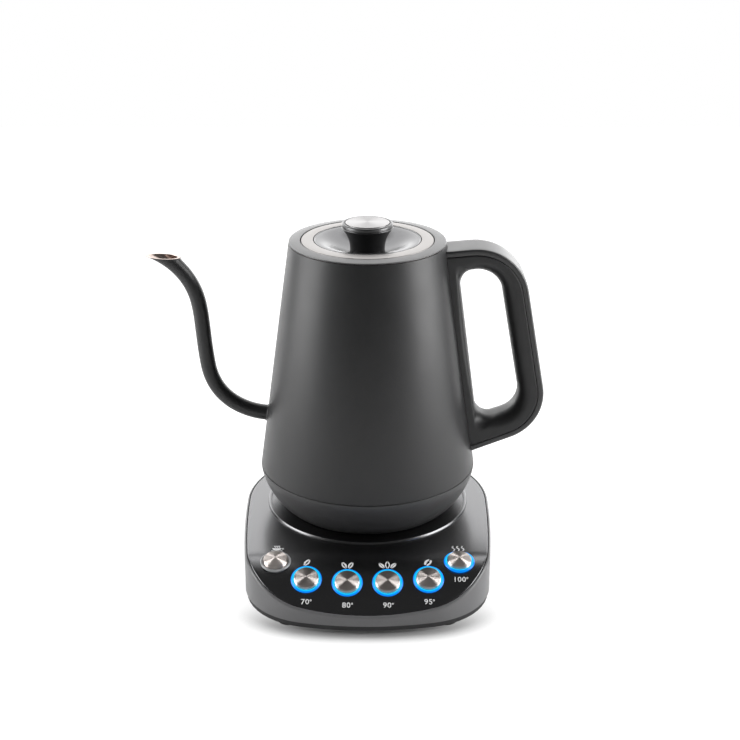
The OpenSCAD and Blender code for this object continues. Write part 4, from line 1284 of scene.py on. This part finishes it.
def print_number(number, text, x, along):
    """A plain number set in the built-in typeface, with a small degree ring."""
    curve = bpy.data.curves.new("figures", "FONT")
    curve.body = text
    curve.size = FIGURE_SIZE
    curve.offset = FIGURE_WEIGHT
    curve.space_character = FIGURE_SPACING
    curve.align_x = "CENTER"
    curve.align_y = "CENTER"
    curve.extrude = FIGURE_THICK
    curve.resolution_u = 3
    holder = bpy.data.objects.new("figures", curve)
    bpy.context.scene.collection.objects.link(holder)
    mesh = settled_mesh(holder)
    mesh.name = f"number_{number}"
    width = max(v.co.x for v in mesh.vertices)
    x += FIGURE_SHIFT
    for v in mesh.vertices:
        v.co = panel_point(x + v.co.x, along - v.co.y, v.co.z + 0.02) * MM
    mesh.materials.clear()
    tidy_mesh(mesh, 30)
    piece(mesh, "base", "ring_white")
    outer, inner = (circle(width + DEGREE_GAP, DEGREE_HEIGHT, r) for r in (DEGREE_R, DEGREE_HOLE_R))
    rings = []
    for line, rise in ((outer, PRINT_SINK), (outer, PRINT_RISE), (inner, PRINT_RISE), (inner, PRINT_SINK)):
        rings.append([panel_point(x + p.x, along - p.y, rise) for p in line])
    piece(woven_mesh(f"degree_{number}", rings), "base", "ring_white")


def print_panel():
    """A small generic picture above each button and a plain number below each lit one."""
    for number, (x, y) in enumerate(BUTTONS, 1):
        picture, over, heat, under = PRINTS[number - 1]
        along = along_surface(y)
        print_mark(f"mark_{number}", picture, x, along - over)
        if heat:
            print_number(number, heat, x, along + under)


def make_pieces():
    make_panel()
    make_wall()
    make_seat()
    for number, (x, y) in enumerate(BUTTONS, 1):
        make_button(number, x, y)
    make_turret()
    make_vessel()
    make_bowl()
    make_collar()
    make_spout()
    make_spout_weld()
    make_grip()
    make_cover()
    make_lid()
    print_panel()


# ---------- stage and light ----------


FLOOR_SIDE, FLOOR_BACK = 1.6, 1.25
PAPER_SEEN, PAPER_BOUNCE = 0.42, 0.95  # the paper's tone to the camera, and to light and reflections
SHADE_REACH, SHADE_START = 0.07, 0.55  # how near the object the paper darkens, and how soon
SHADE_BEHIND = 0.3  # the share of that shade beside and behind the base
SHADE_FRONT = (0.08, 0.12)  # it grows to all of it between these distances in front of the middle
GLOW, GLOW_SHARE = 1.5, 0.85
WHITE, ROOM = (1, 1, 1, 1), (0.075, 0.075, 0.075, 1)


def make_floor():
    """Pale paper that the camera sees as white, apart from the soft shade round the object."""
    mesh = bpy.data.meshes.new("floor")
    corners = [
        (-FLOOR_SIDE, -FLOOR_SIDE, 0), (FLOOR_SIDE, -FLOOR_SIDE, 0),
        (FLOOR_SIDE, FLOOR_BACK, 0), (-FLOOR_SIDE, FLOOR_BACK, 0),
    ]
    mesh.from_pydata(corners, [], [(0, 1, 2, 3)])
    floor = bpy.data.objects.new("floor", mesh)
    bpy.context.scene.collection.objects.link(floor)
    paper = Finish("floor_paper", [PAPER_BOUNCE] * 3, 0.9)
    seen = paper.add("ShaderNodeLightPath", output="Is Camera Ray")
    paper.set("Base Color", paper.mix(seen, [PAPER_BOUNCE] * 3, [PAPER_SEEN] * 3))
    sky = paper.add("ShaderNodeAmbientOcclusion", inputs={"Distance": SHADE_REACH}, output="AO")
    in_front = (0 - paper.place()[1]).rise(*SHADE_FRONT)
    shade = (1 - sky.rise(SHADE_START, 1)) * (SHADE_BEHIND + (1 - SHADE_BEHIND) * in_front)
    glow = paper.add("ShaderNodeEmission", inputs={"Color": WHITE, "Strength": GLOW})
    plain = paper.out_of("Principled BSDF")
    paper.show_by_camera(plain, glow, seen * (1 - shade) * GLOW_SHARE, "Material Output")
    mesh.materials.append(paper.material)


def make_world():
    """White to the camera, a dim room to everything else."""
    world = bpy.data.worlds.new("studio")
    graph = Graph(world)
    seen = graph.add("ShaderNodeLightPath", output="Is Camera Ray")
    room, white = (graph.add("ShaderNodeBackground", inputs={"Color": c}) for c in (ROOM, WHITE))
    graph.show_by_camera(room, white, seen, "World Output")
    bpy.context.scene.world = world


AIM = Vector((0, 0, 0.12))
LAMPS = {  # place, width, height and brightness
    "left_box": ((-1.1, -0.1, 0.36), 0.8, 1.2, 4.5),
    "right_box": ((1.1, -0.15, 0.36), 0.8, 1.2, 5.4),
    "back_box_low": ((0, 1.15, 0.19), 3.0, 0.38, 2.6),
    "back_box_high": ((0, 1.15, 0.84), 3.0, 1.0, 1.5),
    "back_box_top": ((0, 1.15, 1.75), 3.0, 0.8, 0.7),
}


def softbox(name, place, width, height, brightness):
    """A flat lamp that faces the kettle's middle; its power keeps its surface at one brightness."""
    data = bpy.data.lights.new(name, "AREA")
    data.shape = "RECTANGLE"
    data.size = width
    data.size_y = height
    data.energy = 4 * brightness * width * height
    lamp = bpy.data.objects.new(name, data)
    lamp.location = place
    lamp.rotation_euler = (AIM - Vector(place)).to_track_quat("-Z", "Y").to_euler()
    lamp.visible_camera = False
    bpy.context.scene.collection.objects.link(lamp)


place_camera()
finishes = make_finishes()
dress_cad(finishes)
make_pieces()
make_floor()
make_world()
for name, facts in LAMPS.items():
    softbox(name, *facts)
bpy.context.scene.view_settings.view_transform = "Standard"
